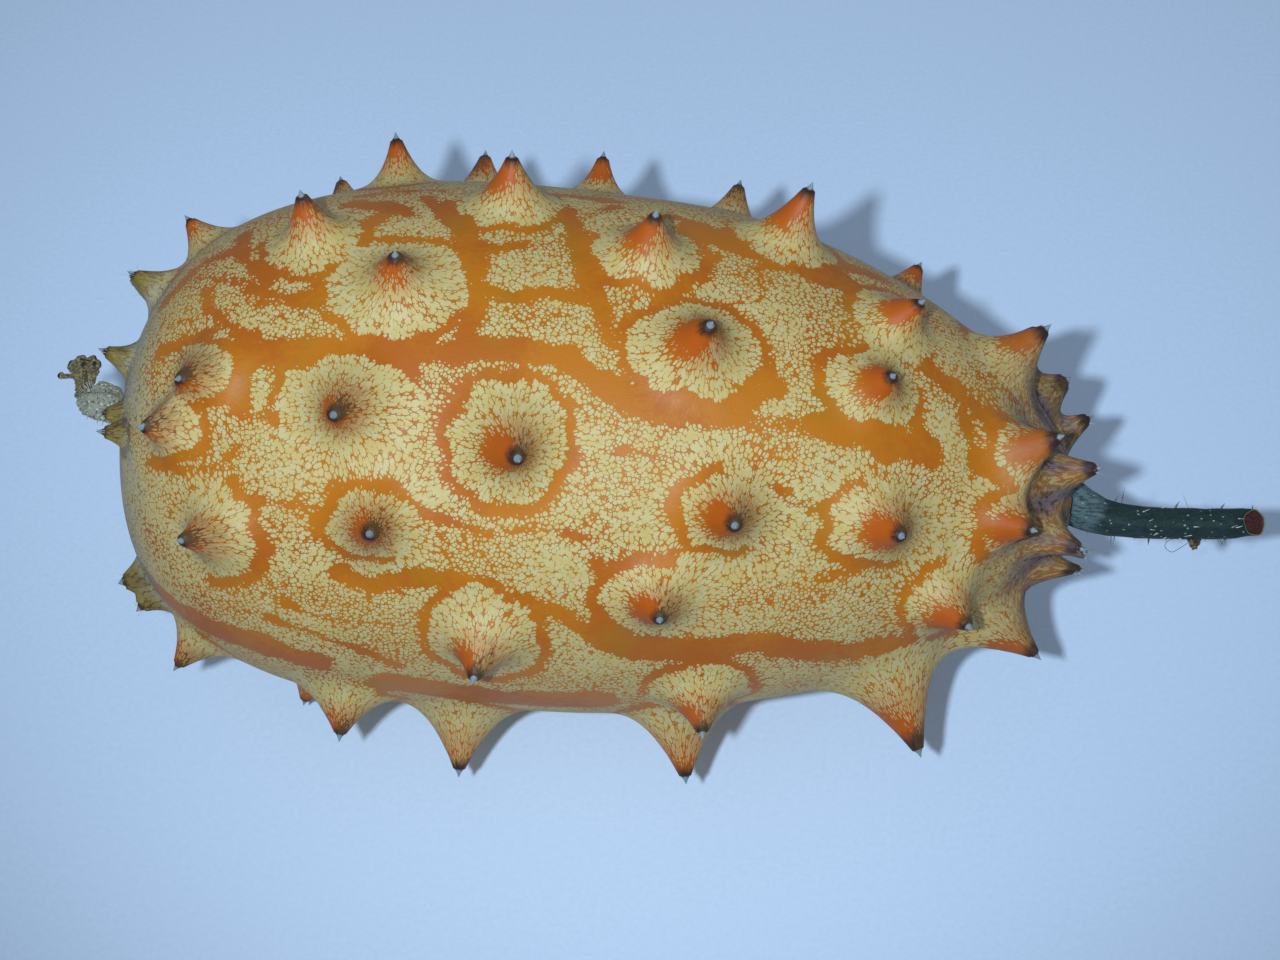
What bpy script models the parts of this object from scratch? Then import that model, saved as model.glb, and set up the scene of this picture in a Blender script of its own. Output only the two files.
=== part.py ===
"""Horned melon: a long fruit with a horned rind, its cut stalk and its dried flower.

The fruit lies on three of its horns. Every size below is in millimetres and every
turn is in degrees; the meshes are made in metres, with +Z up and +X towards the
stalk. A place on the rind is given by its station, measured along the fruit from
the flower's end, and its turn, measured from straight up and positive to the
front (-Y).
"""
import math
import random
from dataclasses import dataclass

import bmesh
import bpy
import numpy as np
from mathutils import Euler, Matrix, Quaternion, Vector
from mathutils.geometry import delaunay_2d_cdt

MM = 0.001

# The body without its horns.
BODY_LENGTH = 118.0
BODY_RADIUS = 32.8
WIDEST = 0.38  # share of the length at which the body is thickest
FULLNESS = 2.5  # how square-shouldered the outline is
FLOWER_END_ROUNDING = 0.36
STALK_END_ROUNDING = 0.64
BOW = 2.5  # how far the axis bends to the back
BOW_PLACE = -11.0  # where it bends furthest, from the middle of the body
LUMP = 0.35  # height of the body's low swells
STALK_SEAT_X = 57.5  # the stalk end is cut square here
STALK_SEAT_RADIUS = 3.6
STALK_SEAT_BLEND = 2.0

# The horns.
PULL = 1.35  # how strongly the skin is drawn in towards a horn
FLARE = 2.8  # how hollow a horn's flanks are, unless its row says
SHOULDER = 0.75  # radius of a horn's blunt end
BRISTLE_RADIUS = 0.45
BRISTLE_LENGTH = 1.1
DOME = 0.15  # rise of the blunt end under the bristle
LEAN_POWER = 1.3
HORN_REACH = 1.3  # skin further off than this many spreads is left alone
RING_RADII = (BRISTLE_RADIUS, 0.8, 1.5, 2.6, 4.4)
RING_SIDES = (6, 6, 8, 8, 10)
RIM_SIDES = 12

# Station, turn, height, spread, lean to the stalk, lean to the front, and perhaps flare.
HORNS_SET_BY_HAND = (
    # round the dried flower
    (2.0, -4, 4.2, 3.6, -0.8, -1.2),
    (1.8, 23, 3.0, 2.5, 0.0, 0.3),
    (2.6, 33, 3.2, 2.6, 0.0, -0.1),
    (3.2, -48, 4.0, 4.2, -0.7, -1.0),
    (4.2, -38, 5.2, 5.5, -0.5, 0.0),
    (3.0, 112, 4.0, 3.6, 0.0, 0.0),
    (4.8, 117, 4.0, 4.0, 0.0, 0.0),
    (8.5, -53, 5.3, 6.5, 0.0, 0.0),
    (12.5, -85, 7.0, 7.5, 0.0, 0.0),
    (11, 32, 5.5, 6.5, 0.0, 0.5),
    (15, 20, 6.5, 7.5, 0.5, 2.5),
    (17, 57, 7.0, 7.5, -1.0, -1.5),
    (10.5, 112, 5.5, 6.5, 0.0, 0.0),
    # along the top
    (25, -14, 7.0, 8.0, 0.5, 0.5, 3.4),
    (23.5, -78, 7.5, 8.0, 0.0, 0.0),
    (32, -53, 6.6, 8.0, 0.0, 0.0, 4.0),
    (36, 2, 6.5, 8.0, 1.0, 0.0),
    (41, -73, 7.5, 8.0, 0.0, 0.0),
    (47.5, -25, 7.0, 8.0, 0.0, 0.5),
    (56.5, -61, 6.0, 7.5, 0.0, 0.0, 4.2),
    (64, -11, 7.0, 8.0, 0.3, 0.3),
    (73, -73, 7.5, 8.0, 0.0, 0.0),
    (80, -29, 8.1, 8.5, 0.6, 0.5, 3.3),
    (70, 12, 8.0, 9.0, 1.0, 0.0),
    (95, -79, 7.5, 8.0, 0.0, 0.0),
    (93, -11, 6.0, 7.5, 0.5, 1.5),
    (90.5, 13, 6.0, 7.5, -0.3, 0.7),
    # along the front
    (50, 34, 7.5, 9.0, 2.0, 2.3),
    (35, 51, 7.5, 8.5, 1.5, -0.7),
    (32, 28, 7.5, 8.5, 0.0, 2.2),
    (74.5, 45, 7.5, 8.5, 0.0, 0.5),
    (92, 47, 7.0, 8.5, -0.5, 0.0),
    (67, 65, 6.5, 8.0, 0.0, -1.0),
    (47.5, 77, 7.0, 8.5, -0.5, 0.0),
    (100, 76, 7.5, 8.5, -0.4, -2.0),
    # low on the front
    (72.5, 98, 6.5, 8.5, -0.3, 0.0),
    (70, 119, 9.4, 9.5, 0.0, 0.0, 2.5),
    (43, 122, 9.1, 9.5, 0.0, 0.0, 2.5),
    (29, 111, 6.2, 8.0, 0.4, 0.0, 2.4),
    (22, 146, 7.5, 8.0, 0.0, 0.0),
    (95.5, 116.5, 11.7, 12.5, -0.4, 0.0, 3.0),
    # the crown round the stalk
    (107.5, -33, 7.5, 8.0, 0.0, 0.0),
    (108, -64, 7.5, 7.5, 0.0, 0.0),
    (107.8, 19, 7.7, 7.5, 0.2, -0.6),
    (106, 48, 6.5, 7.2, 0.5, -0.4),
    (112.5, -62, 5.6, 5.0, 0.0, 0.0),
    (115.0, -84, 6.0, 4.6, 0.0, 1.7),
    (114, 19, 6.0, 5.2, 0.0, 0.0),
    (113, 65, 5.7, 5.0, 0.0, -0.6),
    (116.2, 135, 5.0, 4.4, 0.0, 0.0),
    (113.5, 102, 4.6, 3.4, 3.0, -0.8, 2.0),
    (107.5, 113, 8.3, 7.8, 1.7, 0.0, 2.4),
)

# The three feet: station, turn and spread. Their height is what reaches the floor.
FEET = ((36, 157, 9.0), (36, 203, 9.0), (80, 180, 9.0))
FLOOR_DROP = 37.4  # how far the floor lies below the body's axis
FOOT_TRIM = 0.9  # how much of each foot is worn away
FOOT_SHOULDER = 1.3
FOOT_RING = 2.0  # radius of the ring of points just outside a foot's flat end
FLOOR_CLEARANCE = 0.6  # of every other horn

# The rule that fills the back and the underside with horns.
SEED = 7
BACK_TURNS = (155.0, 272.0)
BACK_STATIONS = (2.5, 115.0)
BACK_TRIES = 4000
BACK_SPACING_MIDDLE = 17.5
BACK_SPACING_ENDS = 7.5
BACK_HEIGHTS = (6.6, 8.4)
BACK_HEIGHT_MIN = 3.4
BACK_SPREAD_SHARE = 0.48  # of the spacing
HEIGHT_PER_SPREAD = 1.15  # the tallest horn that a spread carries

# The skin between the horns.
MERIDIAN_STEPS = 2000
SKIN_POINTS = 1500  # before those under the horns are dropped
SKIN_CLEARANCE = 1.15  # spreads that those points keep from a horn's middle
POLE_CLEARANCE = 0.2  # a horn's points stay this far from the flower end

# The scar that the dried flower stands on.
SCAR_STATION = 0.07
SCAR_TURN = -42.0
SCAR_HEIGHT = 1.5
SCAR_SPREAD = 5.0

# The stalk: where its middle runs, and its radius at each of those places.
STALK_PATH = (
    (57.85, -1.1, -0.5, 3.15),
    (58.35, -1.25, -0.55, 2.95),
    (59.6, -1.95, -0.8, 2.6),
    (61.5, -2.7, -1.15, 2.3),
    (63.5, -3.0, -1.4, 2.12),
    (66.5, -3.15, -1.6, 2.0),
    (70.0, -3.05, -1.75, 1.92),
    (74.0, -2.85, -1.85, 1.9),
    (78.0, -2.6, -1.8, 1.85),
    (81.0, -2.35, -1.75, 1.78),
)
STALK_SIDES = 14
STALK_RIBS = 5
STALK_RIB_SHARE = 0.05
SQUARE_REACH = 4.0  # over this length a tube turns from its square foot to its path
STALK_CUT_TILT = (0.0, -44.0, -36.0)  # how the cut face is turned, in degrees
STALK_CUT_RINGS = 3  # the last rings, which turn step by step into the cut face
STALK_BRISTLES = 16
STALK_BRISTLE_RADIUS = 0.22
STALK_BRISTLE_LENGTH = 0.85
STALK_BRISTLE_ROOT = 0.35
SCAB_PLACE = (73.7, -3.95, -2.5)
SCAB_DIRECTION = (0.1, -0.75, -0.62)
SCAB_RADIUS = 1.25
SCAB_LENGTH = 1.9
SCAB_SIDES = 6
SCAB_FLATNESS = 0.7

# The dried flower: the middle line of its seat, neck and crumpled head, with radii.
FLOWER_PATH = (
    (-60.85, 3.4, 3.0, 1.3),
    (-61.8, 3.6, 3.0, 2.1),
    (-63.0, 3.9, 3.0, 2.3),
    (-64.5, 4.3, 3.0, 2.0),
    (-65.5, 4.8, 3.2, 1.35),
    (-65.9, 5.4, 3.5, 0.95),
    (-66.0, 6.0, 3.9, 0.95),
    (-66.1, 6.8, 4.4, 1.3),
    (-66.1, 7.6, 4.9, 1.6),
    (-66.0, 8.2, 5.3, 1.4),
    (-65.9, 8.7, 5.7, 0.75),
)
FLOWER_SIDES = 16
FLOWER_FOLDS = 5
FLOWER_FOLD_SHARE = 0.2
FLOWER_TWIST = 1.1
PETALS = (
    # where each dried petal starts, where it ends and how wide it is
    ((-66.1, 7.4, 4.9), (-64.1, 8.4, 5.5), 0.9),
    ((-66.0, 7.6, 4.6), (-67.7, 8.6, 5.0), 0.8),
    ((-66.3, 7.0, 4.5), (-69.2, 6.8, 4.4), 0.5),
    ((-66.1, 7.2, 5.2), (-65.7, 6.9, 6.8), 0.8),
    ((-66.0, 7.8, 4.6), (-65.2, 9.4, 4.5), 0.8),
)
PETAL_SIDES = 5
PETAL_FLATNESS = 0.55


@dataclass
class Horn:
    """One horn of the rind."""

    station: float
    turn: float
    height: float
    spread: float
    to_stalk: float = 0.0
    to_front: float = 0.0
    flare: float = FLARE
    foot: bool = False


def clear_scene():
    """Remove the objects that a new Blender file starts with."""
    for thing in list(bpy.data.objects):
        bpy.data.objects.remove(thing, do_unlink=True)


def make_material(name, colour, roughness, metallic=0.0):
    """Return a Principled material of one colour."""
    material = bpy.data.materials.new(name)
    material.use_nodes = True
    shader = material.node_tree.nodes["Principled BSDF"]
    shader.inputs["Base Color"].default_value = (*colour, 1.0)
    shader.inputs["Roughness"].default_value = roughness
    shader.inputs["Metallic"].default_value = metallic
    return material


# ---------------------------------------------------------------- the body's surface
def body_radius(station):
    """Radius of the body at stations along it."""
    share = np.clip(np.asarray(station, float) / BODY_LENGTH, 0.0, 1.0)
    before = share < WIDEST
    away = np.where(before, (WIDEST - share) / WIDEST, (share - WIDEST) / (1.0 - WIDEST))
    rounding = np.where(before, FLOWER_END_ROUNDING, STALK_END_ROUNDING)
    return BODY_RADIUS * np.maximum(1.0 - away ** FULLNESS, 0.0) ** rounding


def body_points(station, turn):
    """Places on the smooth body, as an array with a row for each station and turn."""
    station, turn = np.broadcast_arrays(np.asarray(station, float), np.asarray(turn, float))
    angle = np.radians(turn)
    radius = body_radius(station)
    swell = np.sin(0.11 * station + 2.0 * angle) * np.sin(0.07 * station - 3.0 * angle + 1.0)
    radius = radius + LUMP * swell * radius / BODY_RADIUS
    along = station - BODY_LENGTH / 2.0
    back = BOW * (1.0 - (2.0 * (along - BOW_PLACE) / BODY_LENGTH) ** 2)
    return np.stack([along, back - radius * np.sin(angle), radius * np.cos(angle)], -1)


def body_frame(station, turn):
    """Centre, outward normal, and the directions to the stalk and to the front."""
    nudge = 0.02
    low, high = max(station - nudge, 0.0), min(station + nudge, BODY_LENGTH)
    centre = body_points(station, turn)
    to_stalk = body_points(high, turn) - body_points(low, turn)
    to_stalk = to_stalk / np.linalg.norm(to_stalk)
    to_front = body_points(station, turn + 1.0) - body_points(station, turn - 1.0)
    to_front = to_front / np.linalg.norm(to_front)
    normal = np.cross(to_front, to_stalk)
    return centre, normal / np.linalg.norm(normal), to_stalk, to_front


def meridian():
    """Walk from end to end and return stations with three running sums.

    They are the length walked, the skin's area so far as a share, and the
    logarithm of the radius of the flat map on which small circles stay round.
    """
    walk = np.linspace(0.0, math.pi, MERIDIAN_STEPS + 1)
    station = BODY_LENGTH * (1.0 - np.cos(walk)) / 2.0
    radius = body_radius(station)
    step = np.hypot(np.diff(station), np.diff(radius))
    middle = (radius[1:] + radius[:-1]) / 2.0
    length = np.concatenate([[0.0], np.cumsum(step)])
    area = np.concatenate([[0.0], np.cumsum(step * middle)])
    spread = np.concatenate([[0.0], np.cumsum(step / middle)])
    return station, length, area / area[-1], spread


# ---------------------------------------------------------------- the horns' places
def feet():
    """The three horns that carry the fruit, just long enough to reach the floor."""
    horns = []
    for station, turn, spread in FEET:
        centre, normal, _, _ = body_frame(station, turn)
        height = (FLOOR_DROP + FOOT_TRIM + centre[2]) / -normal[2]
        horns.append(Horn(station, turn, height, spread, foot=True))
    return horns


def height_over_floor(station, turn, wanted):
    """The wanted height, or less where a horn would come near the floor."""
    centre, normal, _, _ = body_frame(station, turn)
    if normal[2] >= 0.0:
        return wanted
    room = (FLOOR_DROP - FLOOR_CLEARANCE + centre[2]) / -normal[2]
    return min(wanted, room)


def horns_of_the_back(placed):
    """Fill the back and underside, each new horn as far from the others as it can be."""
    draw = random.Random(SEED)
    tries = []
    for _ in range(BACK_TRIES):
        tries.append((draw.uniform(*BACK_STATIONS), draw.uniform(*BACK_TURNS)))
    tries = np.array(tries)
    points = body_points(tries[:, 0], tries[:, 1])
    thick = body_radius(tries[:, 0]) / BODY_RADIUS
    spacing = BACK_SPACING_ENDS + (BACK_SPACING_MIDDLE - BACK_SPACING_ENDS) * thick ** 2
    room = np.full(len(tries), np.inf)
    for horn in placed:
        away = np.linalg.norm(points - body_points(horn.station, horn.turn), axis=1)
        room = np.minimum(room, away)
    added = []
    while (room / spacing).max() > 1.0:
        best = int((room / spacing).argmax())
        station, turn = (float(value) for value in tries[best])
        spread = BACK_SPREAD_SHARE * float(spacing[best])
        wanted = min(draw.uniform(*BACK_HEIGHTS), HEIGHT_PER_SPREAD * spread)
        height = height_over_floor(station, turn, wanted)
        if height > BACK_HEIGHT_MIN:
            added.append(Horn(station, turn, height, spread))
        room = np.minimum(room, np.linalg.norm(points - points[best], axis=1))
    return added


def all_horns():
    """Every horn of the fruit."""
    placed = [Horn(*row) for row in HORNS_SET_BY_HAND] + feet()
    return placed + horns_of_the_back(placed)


# ---------------------------------------------------------------- raising the horns
def horn_profile(radius, horn):
    """Height of a horn above the body at a distance from its middle."""
    shoulder = FOOT_SHOULDER if horn.foot else SHOULDER
    point = 0.0 if horn.foot else BRISTLE_LENGTH
    flank = np.clip((radius - shoulder) / (horn.spread - shoulder), 0.0, 1.0)
    height = (horn.height - point) * (1.0 - flank) ** horn.flare
    if not horn.foot:
        height = height + DOME * np.clip(1.0 - (radius / shoulder) ** 2, 0.0, 1.0)
        height = height + (point - DOME) * np.clip(1.0 - radius / BRISTLE_RADIUS, 0.0, 1.0)
    return height


def raise_horns(points, horns):
    """Move points of the smooth body out onto the horns, and draw the skin in."""
    moved = points.copy()
    seat = np.hypot(points[:, 1] - STALK_PATH[0][1], points[:, 2] - STALK_PATH[0][2])
    calm = np.clip((seat - STALK_SEAT_RADIUS) / STALK_SEAT_BLEND, 0.0, 1.0)
    calm = np.where(points[:, 0] > 0.0, calm, 1.0)[:, None]
    for horn in horns:
        centre, normal, to_stalk, to_front = body_frame(horn.station, horn.turn)
        away = points - centre
        near = np.flatnonzero((away ** 2).sum(1) < (HORN_REACH * horn.spread) ** 2)
        away = away[near]
        rise = (away @ normal)[:, None]
        flat = away - rise * normal
        share = np.linalg.norm(flat, axis=1) / horn.spread
        near, rise, flat, share = (part[share < 1.0] for part in (near, rise, flat, share))
        drawn = (share ** (PULL - 1.0))[:, None]
        height = horn_profile(horn.spread * share ** PULL, horn)[:, None]
        lean = horn.to_stalk * to_stalk + horn.to_front * to_front
        shift = (drawn - 1.0) * flat + (drawn ** 2 - 1.0) * rise * normal
        shift = shift + height * normal + lean * (height / horn.height) ** LEAN_POWER
        moved[near] += shift * calm[near]
    return raise_scar(points, moved)


def raise_scar(points, moved):
    """Raise the low mound that the dried flower stands on."""
    centre, normal, _, _ = body_frame(SCAR_STATION, SCAR_TURN)
    share = np.linalg.norm(points - centre, axis=1) / SCAR_SPREAD
    height = SCAR_HEIGHT * np.clip(1.0 - share ** 2, 0.0, 1.0) ** 2
    return moved + height[:, None] * normal


# ---------------------------------------------------------------- the rind's mesh
def ring_places(horn, length_of, station_of):
    """Station and turn of the points that a horn is drawn with."""
    places = [(horn.station, horn.turn)]
    radii = [r for r in RING_RADII if r < 0.8 * horn.spread]
    if horn.foot:
        radii[1:3] = FOOT_SHOULDER, FOOT_RING
    shares = [(r / horn.spread) ** (1.0 / PULL) for r in radii] + [1.0]
    sides = list(RING_SIDES[:len(radii)]) + [RIM_SIDES]
    for index, (share, count) in enumerate(zip(shares, sides)):
        reach = share * horn.spread
        for k in range(count):
            angle = 2.0 * math.pi * (k + 0.5 * (index % 2)) / count
            length = length_of(horn.station) + reach * math.cos(angle)
            station = station_of(max(length, POLE_CLEARANCE))
            thick = float(body_radius(0.5 * (station + horn.station)))
            places.append((station, horn.turn + math.degrees(reach * math.sin(angle) / thick)))
    return places


def skin_places(horns, table):
    """Station and turn of every point of the rind, dense on the horns."""
    stations, lengths, areas, _ = table
    share = (np.arange(SKIN_POINTS) + 0.5) / SKIN_POINTS
    golden = 180.0 * (3.0 - math.sqrt(5.0))
    spiral = np.stack([np.interp(share, areas, stations), golden * np.arange(SKIN_POINTS)], -1)
    groups = [(None, spiral)]
    for horn in horns:
        places = ring_places(
            horn,
            lambda station: float(np.interp(station, stations, lengths)),
            lambda length: float(np.interp(length, lengths, stations)),
        )
        groups.append((horn, np.array(places)))
    kept = []
    for owner, places in groups:
        points = body_points(places[:, 0], places[:, 1])
        own = np.full(len(points), SKIN_CLEARANCE)
        if owner is not None:
            own = np.linalg.norm(points - body_points(owner.station, owner.turn), axis=1)
            own = own / owner.spread
        keep = np.ones(len(points), bool)
        for horn in horns:
            if horn is not owner:
                away = np.linalg.norm(points - body_points(horn.station, horn.turn), axis=1)
                keep &= away / horn.spread > own
        kept.append(places[keep])
    return np.concatenate(kept)


def skin_faces(places, table):
    """Triangles over the places, joined on the flat map, and closed at the stalk end."""
    stations, _, _, spread = table
    reach = np.exp(np.interp(places[:, 0], stations, spread) - spread[-1] / 2.0)
    angle = np.radians(places[:, 1])
    flat = [Vector(pair) for pair in zip(reach * np.cos(angle), reach * np.sin(angle))]
    _, _, found, origins, _, _ = delaunay_2d_cdt(flat, [], [], 0, 0.0)
    faces = [tuple(origins[corner][0] for corner in face) for face in found]
    edges = set()
    for face in faces:
        for k in range(3):
            edges.add((face[k], face[(k + 1) % 3]))
    pole = len(places)
    rim = [edge for edge in edges if (edge[1], edge[0]) not in edges]
    return faces + [(end, start, pole) for start, end in rim]


def build_rind(horns):
    """The body with all its horns, as one closed skin."""
    table = meridian()
    places = skin_places(horns, table)
    faces = skin_faces(places, table)
    places = np.vstack([places, [BODY_LENGTH, 0.0]])
    smooth = body_points(places[:, 0], places[:, 1])
    smooth[:, 0] = np.minimum(smooth[:, 0], STALK_SEAT_X)
    points = raise_horns(smooth, horns)
    points[:, 2] = np.maximum(points[:, 2], -FLOOR_DROP)
    return new_object("rind", points, faces)


# ---------------------------------------------------------------- mesh helpers
def new_object(name, points, faces):
    """A mesh object in metres from points in millimetres, its faces turned outwards."""
    mesh = bpy.data.meshes.new(name)
    mesh.from_pydata([Vector(point) * MM for point in points], [], faces)
    made = bmesh.new()
    made.from_mesh(mesh)
    bmesh.ops.recalc_face_normals(made, faces=made.faces)
    bmesh.ops.triangulate(made, faces=made.faces)
    made.to_mesh(mesh)
    made.free()
    thing = bpy.data.objects.new(name, mesh)
    bpy.context.collection.objects.link(thing)
    return thing


def along_path(rows, steps):
    """Places and radii along a smooth line through the rows."""
    rows = np.array(rows)
    knots = np.arange(len(rows))
    ends = np.vstack([2 * rows[0] - rows[1], rows, 2 * rows[-1] - rows[-2]])
    result = []
    for at in np.linspace(0.0, len(rows) - 1.0, steps):
        k = min(int(at), len(knots) - 2)
        t = at - k
        a, b, c, d = ends[k:k + 4]
        bend = (2 * b) + (c - a) * t + (2 * a - 5 * b + 4 * c - d) * t ** 2
        bend = bend + (3 * b - a - 3 * c + d) * t ** 3
        result.append(bend / 2.0)
    return result


def sweep(name, rows, sides, shape, start=None, end_turn=None):
    """A closed tube along rows of place and radius; shape(share, angle) scales each radius.

    The tube's first face is square to start, and its last face is turned by end_turn.
    """
    points = []
    faces = []
    places = [Vector(row[:3]) for row in rows]
    for ring, row in enumerate(rows):
        ahead = (places[min(ring + 1, len(rows) - 1)] - places[max(ring - 1, 0)]).normalized()
        if start is not None:
            ahead = start.lerp(ahead, min(1.0, (places[ring] - places[0]).length / SQUARE_REACH))
        turn = ahead.to_track_quat("X", "Z").to_matrix()
        if end_turn is not None:
            share = max(0.0, 1.0 - (len(rows) - 1 - ring) / STALK_CUT_RINGS)
            turn = Quaternion().slerp(end_turn, share).to_matrix() @ turn
        for side in range(sides):
            angle = 2.0 * math.pi * side / sides
            reach = float(row[3]) * shape(ring / (len(rows) - 1), angle)
            spoke = turn @ Vector((0.0, math.cos(angle), math.sin(angle)))
            points.append(places[ring] + reach * spoke)
    for ring in range(len(rows) - 1):
        for side in range(sides):
            near = ring * sides + side
            across = ring * sides + (side + 1) % sides
            faces.append((near, across, across + sides, near + sides))
    faces.append(tuple(range(sides)))
    faces.append(tuple((len(rows) - 1) * sides + side for side in range(sides)))
    return new_object(name, points, faces)


def spike(name, foot, tip, radius, sides, flat=1.0):
    """A short pointed piece from foot to tip; flat below 1 makes it blade-like."""
    foot, tip = Vector(foot), Vector(tip)
    made = bmesh.new()
    turn = (tip - foot).to_track_quat("Z", "Y").to_matrix().to_4x4()
    bmesh.ops.create_cone(
        made,
        cap_ends=True,
        segments=sides,
        radius1=radius * MM,
        radius2=0.25 * radius * MM,
        depth=(tip - foot).length * MM,
        matrix=Matrix.Translation((foot + tip) * MM / 2.0) @ turn @ Matrix.Diagonal((1, flat, 1, 1)),
    )
    mesh = bpy.data.meshes.new(name)
    made.to_mesh(mesh)
    made.free()
    thing = bpy.data.objects.new(name, mesh)
    bpy.context.collection.objects.link(thing)
    return thing


def fuse(thing, pieces):
    """Join pieces to the thing that they grow from, and remove them."""
    group = bpy.data.collections.new(thing.name + "_pieces")
    bpy.context.scene.collection.children.link(group)
    for piece in pieces:
        group.objects.link(piece)
    joint = thing.modifiers.new("fuse", "BOOLEAN")
    joint.operation = "UNION"
    joint.operand_type = "COLLECTION"
    joint.collection = group
    joint.solver = "EXACT"
    bpy.context.view_layer.update()
    graph = bpy.context.evaluated_depsgraph_get()
    mesh = bpy.data.meshes.new_from_object(thing.evaluated_get(graph))
    thing.modifiers.clear()
    thing.data = mesh
    for piece in pieces:
        bpy.data.objects.remove(piece, do_unlink=True)
    bpy.data.collections.remove(group)
    return thing


def smooth_shade(thing, sharp_angle):
    """Shade a piece smooth, with its sharp edges kept."""
    thing.data.shade_smooth()
    thing.data.set_sharp_from_angle(angle=math.radians(sharp_angle))


# ---------------------------------------------------------------- stalk and flower
def build_stalk():
    """The cut stalk with its flared foot, a scab and short bristles."""
    rows = along_path(STALK_PATH, 26)
    end_turn = Euler([math.radians(angle) for angle in STALK_CUT_TILT]).to_quaternion()

    def ribbed(share, angle):
        return 1.0 + STALK_RIB_SHARE * math.cos(STALK_RIBS * angle + 1.5 * share)

    stalk = sweep("stalk", rows, STALK_SIDES, ribbed, Vector((1.0, 0.0, 0.0)), end_turn)
    pieces = [spike(
        "scab",
        SCAB_PLACE,
        Vector(SCAB_PLACE) + Vector(SCAB_DIRECTION).normalized() * SCAB_LENGTH,
        SCAB_RADIUS,
        SCAB_SIDES,
        SCAB_FLATNESS,
    )]
    draw = random.Random(SEED)
    for index in range(STALK_BRISTLES):
        row = rows[6 + index * (len(rows) - 9) // STALK_BRISTLES]
        angle = 2.4 * index + draw.uniform(-0.4, 0.4)
        out = Vector((draw.uniform(-0.1, 0.35), math.cos(angle), math.sin(angle))).normalized()
        foot = Vector(row[:3]) + out * (row[3] - STALK_BRISTLE_ROOT)
        tip = Vector(row[:3]) + out * (row[3] + STALK_BRISTLE_LENGTH * draw.uniform(0.7, 1.15))
        pieces.append(spike("bristle", foot, tip, STALK_BRISTLE_RADIUS, 4))
    return fuse(stalk, pieces)


def build_flower():
    """The dried flower: a swollen seat, a folded neck and a crumpled head."""
    rows = along_path(FLOWER_PATH, 24)

    def crumpled(share, angle):
        fold = math.sin(FLOWER_FOLDS * angle + FLOWER_TWIST * 2.0 * math.pi * share)
        crease = math.sin(3.0 * angle - 9.0 * share) * math.sin(17.0 * share)
        depth = FLOWER_FOLD_SHARE * min(1.0, 0.35 + share)
        return 1.0 + depth * fold + 0.5 * depth * crease

    flower = sweep("withered_flower", rows, FLOWER_SIDES, crumpled)
    petals = [spike("petal", a, b, width, PETAL_SIDES, PETAL_FLATNESS) for a, b, width in PETALS]
    return fuse(flower, petals)


def main():
    """Build the three pieces and set the fruit's lowest middle point at the origin."""
    clear_scene()
    rind = build_rind(all_horns())
    stalk = build_stalk()
    flower = build_flower()
    rind.data.materials.append(make_material("rind", (0.62, 0.36, 0.10), 0.42))
    stalk.data.materials.append(make_material("stalk", (0.06, 0.11, 0.10), 0.75))
    flower.data.materials.append(make_material("withered_flower", (0.26, 0.22, 0.17), 0.9))
    smooth_shade(rind, 60.0)
    smooth_shade(stalk, 50.0)
    smooth_shade(flower, 50.0)

    pieces = (rind, stalk, flower)
    corners = np.array([vertex.co for piece in pieces for vertex in piece.data.vertices])
    low, high = corners.min(0), corners.max(0)
    middle = Vector(((low[0] + high[0]) / 2.0, (low[1] + high[1]) / 2.0, low[2]))
    for piece in pieces:
        piece.data.transform(Matrix.Translation(-middle))


main()
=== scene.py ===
"""Looks of the horned melon: its finely horned, marbled rind, its cut stalk and its withered flower.

The sizes inside the classes are millimetres and degrees, as in the part's own source. A place
on the rind is given by its station, measured along the fruit from the flower's end, and its
turn, measured from straight up and positive to the front (-Y). Finished meshes are in metres.
"""
import logging
import math
import random
from dataclasses import dataclass, field
from enum import Enum

import bpy
import numpy as np
from mathutils import Matrix, Quaternion, Vector, noise
from mathutils.geometry import delaunay_2d_cdt


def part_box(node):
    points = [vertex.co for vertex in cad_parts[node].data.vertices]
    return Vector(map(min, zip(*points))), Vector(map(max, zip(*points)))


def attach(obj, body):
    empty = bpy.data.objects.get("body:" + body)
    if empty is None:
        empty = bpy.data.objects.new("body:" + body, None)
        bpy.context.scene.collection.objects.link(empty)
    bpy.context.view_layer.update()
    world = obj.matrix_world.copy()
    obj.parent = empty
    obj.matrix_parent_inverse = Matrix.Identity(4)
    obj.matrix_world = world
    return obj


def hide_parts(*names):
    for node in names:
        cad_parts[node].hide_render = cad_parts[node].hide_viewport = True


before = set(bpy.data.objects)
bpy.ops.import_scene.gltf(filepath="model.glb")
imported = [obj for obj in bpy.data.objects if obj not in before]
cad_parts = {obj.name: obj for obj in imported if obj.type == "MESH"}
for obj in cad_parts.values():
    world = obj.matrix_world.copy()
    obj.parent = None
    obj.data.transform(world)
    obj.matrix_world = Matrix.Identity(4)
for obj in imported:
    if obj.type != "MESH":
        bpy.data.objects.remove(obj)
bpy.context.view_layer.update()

MM = 0.001
USUAL_SPREAD = 8.5
LOG = logging.getLogger("horned_melon")

Colour = tuple[float, float, float]


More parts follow.
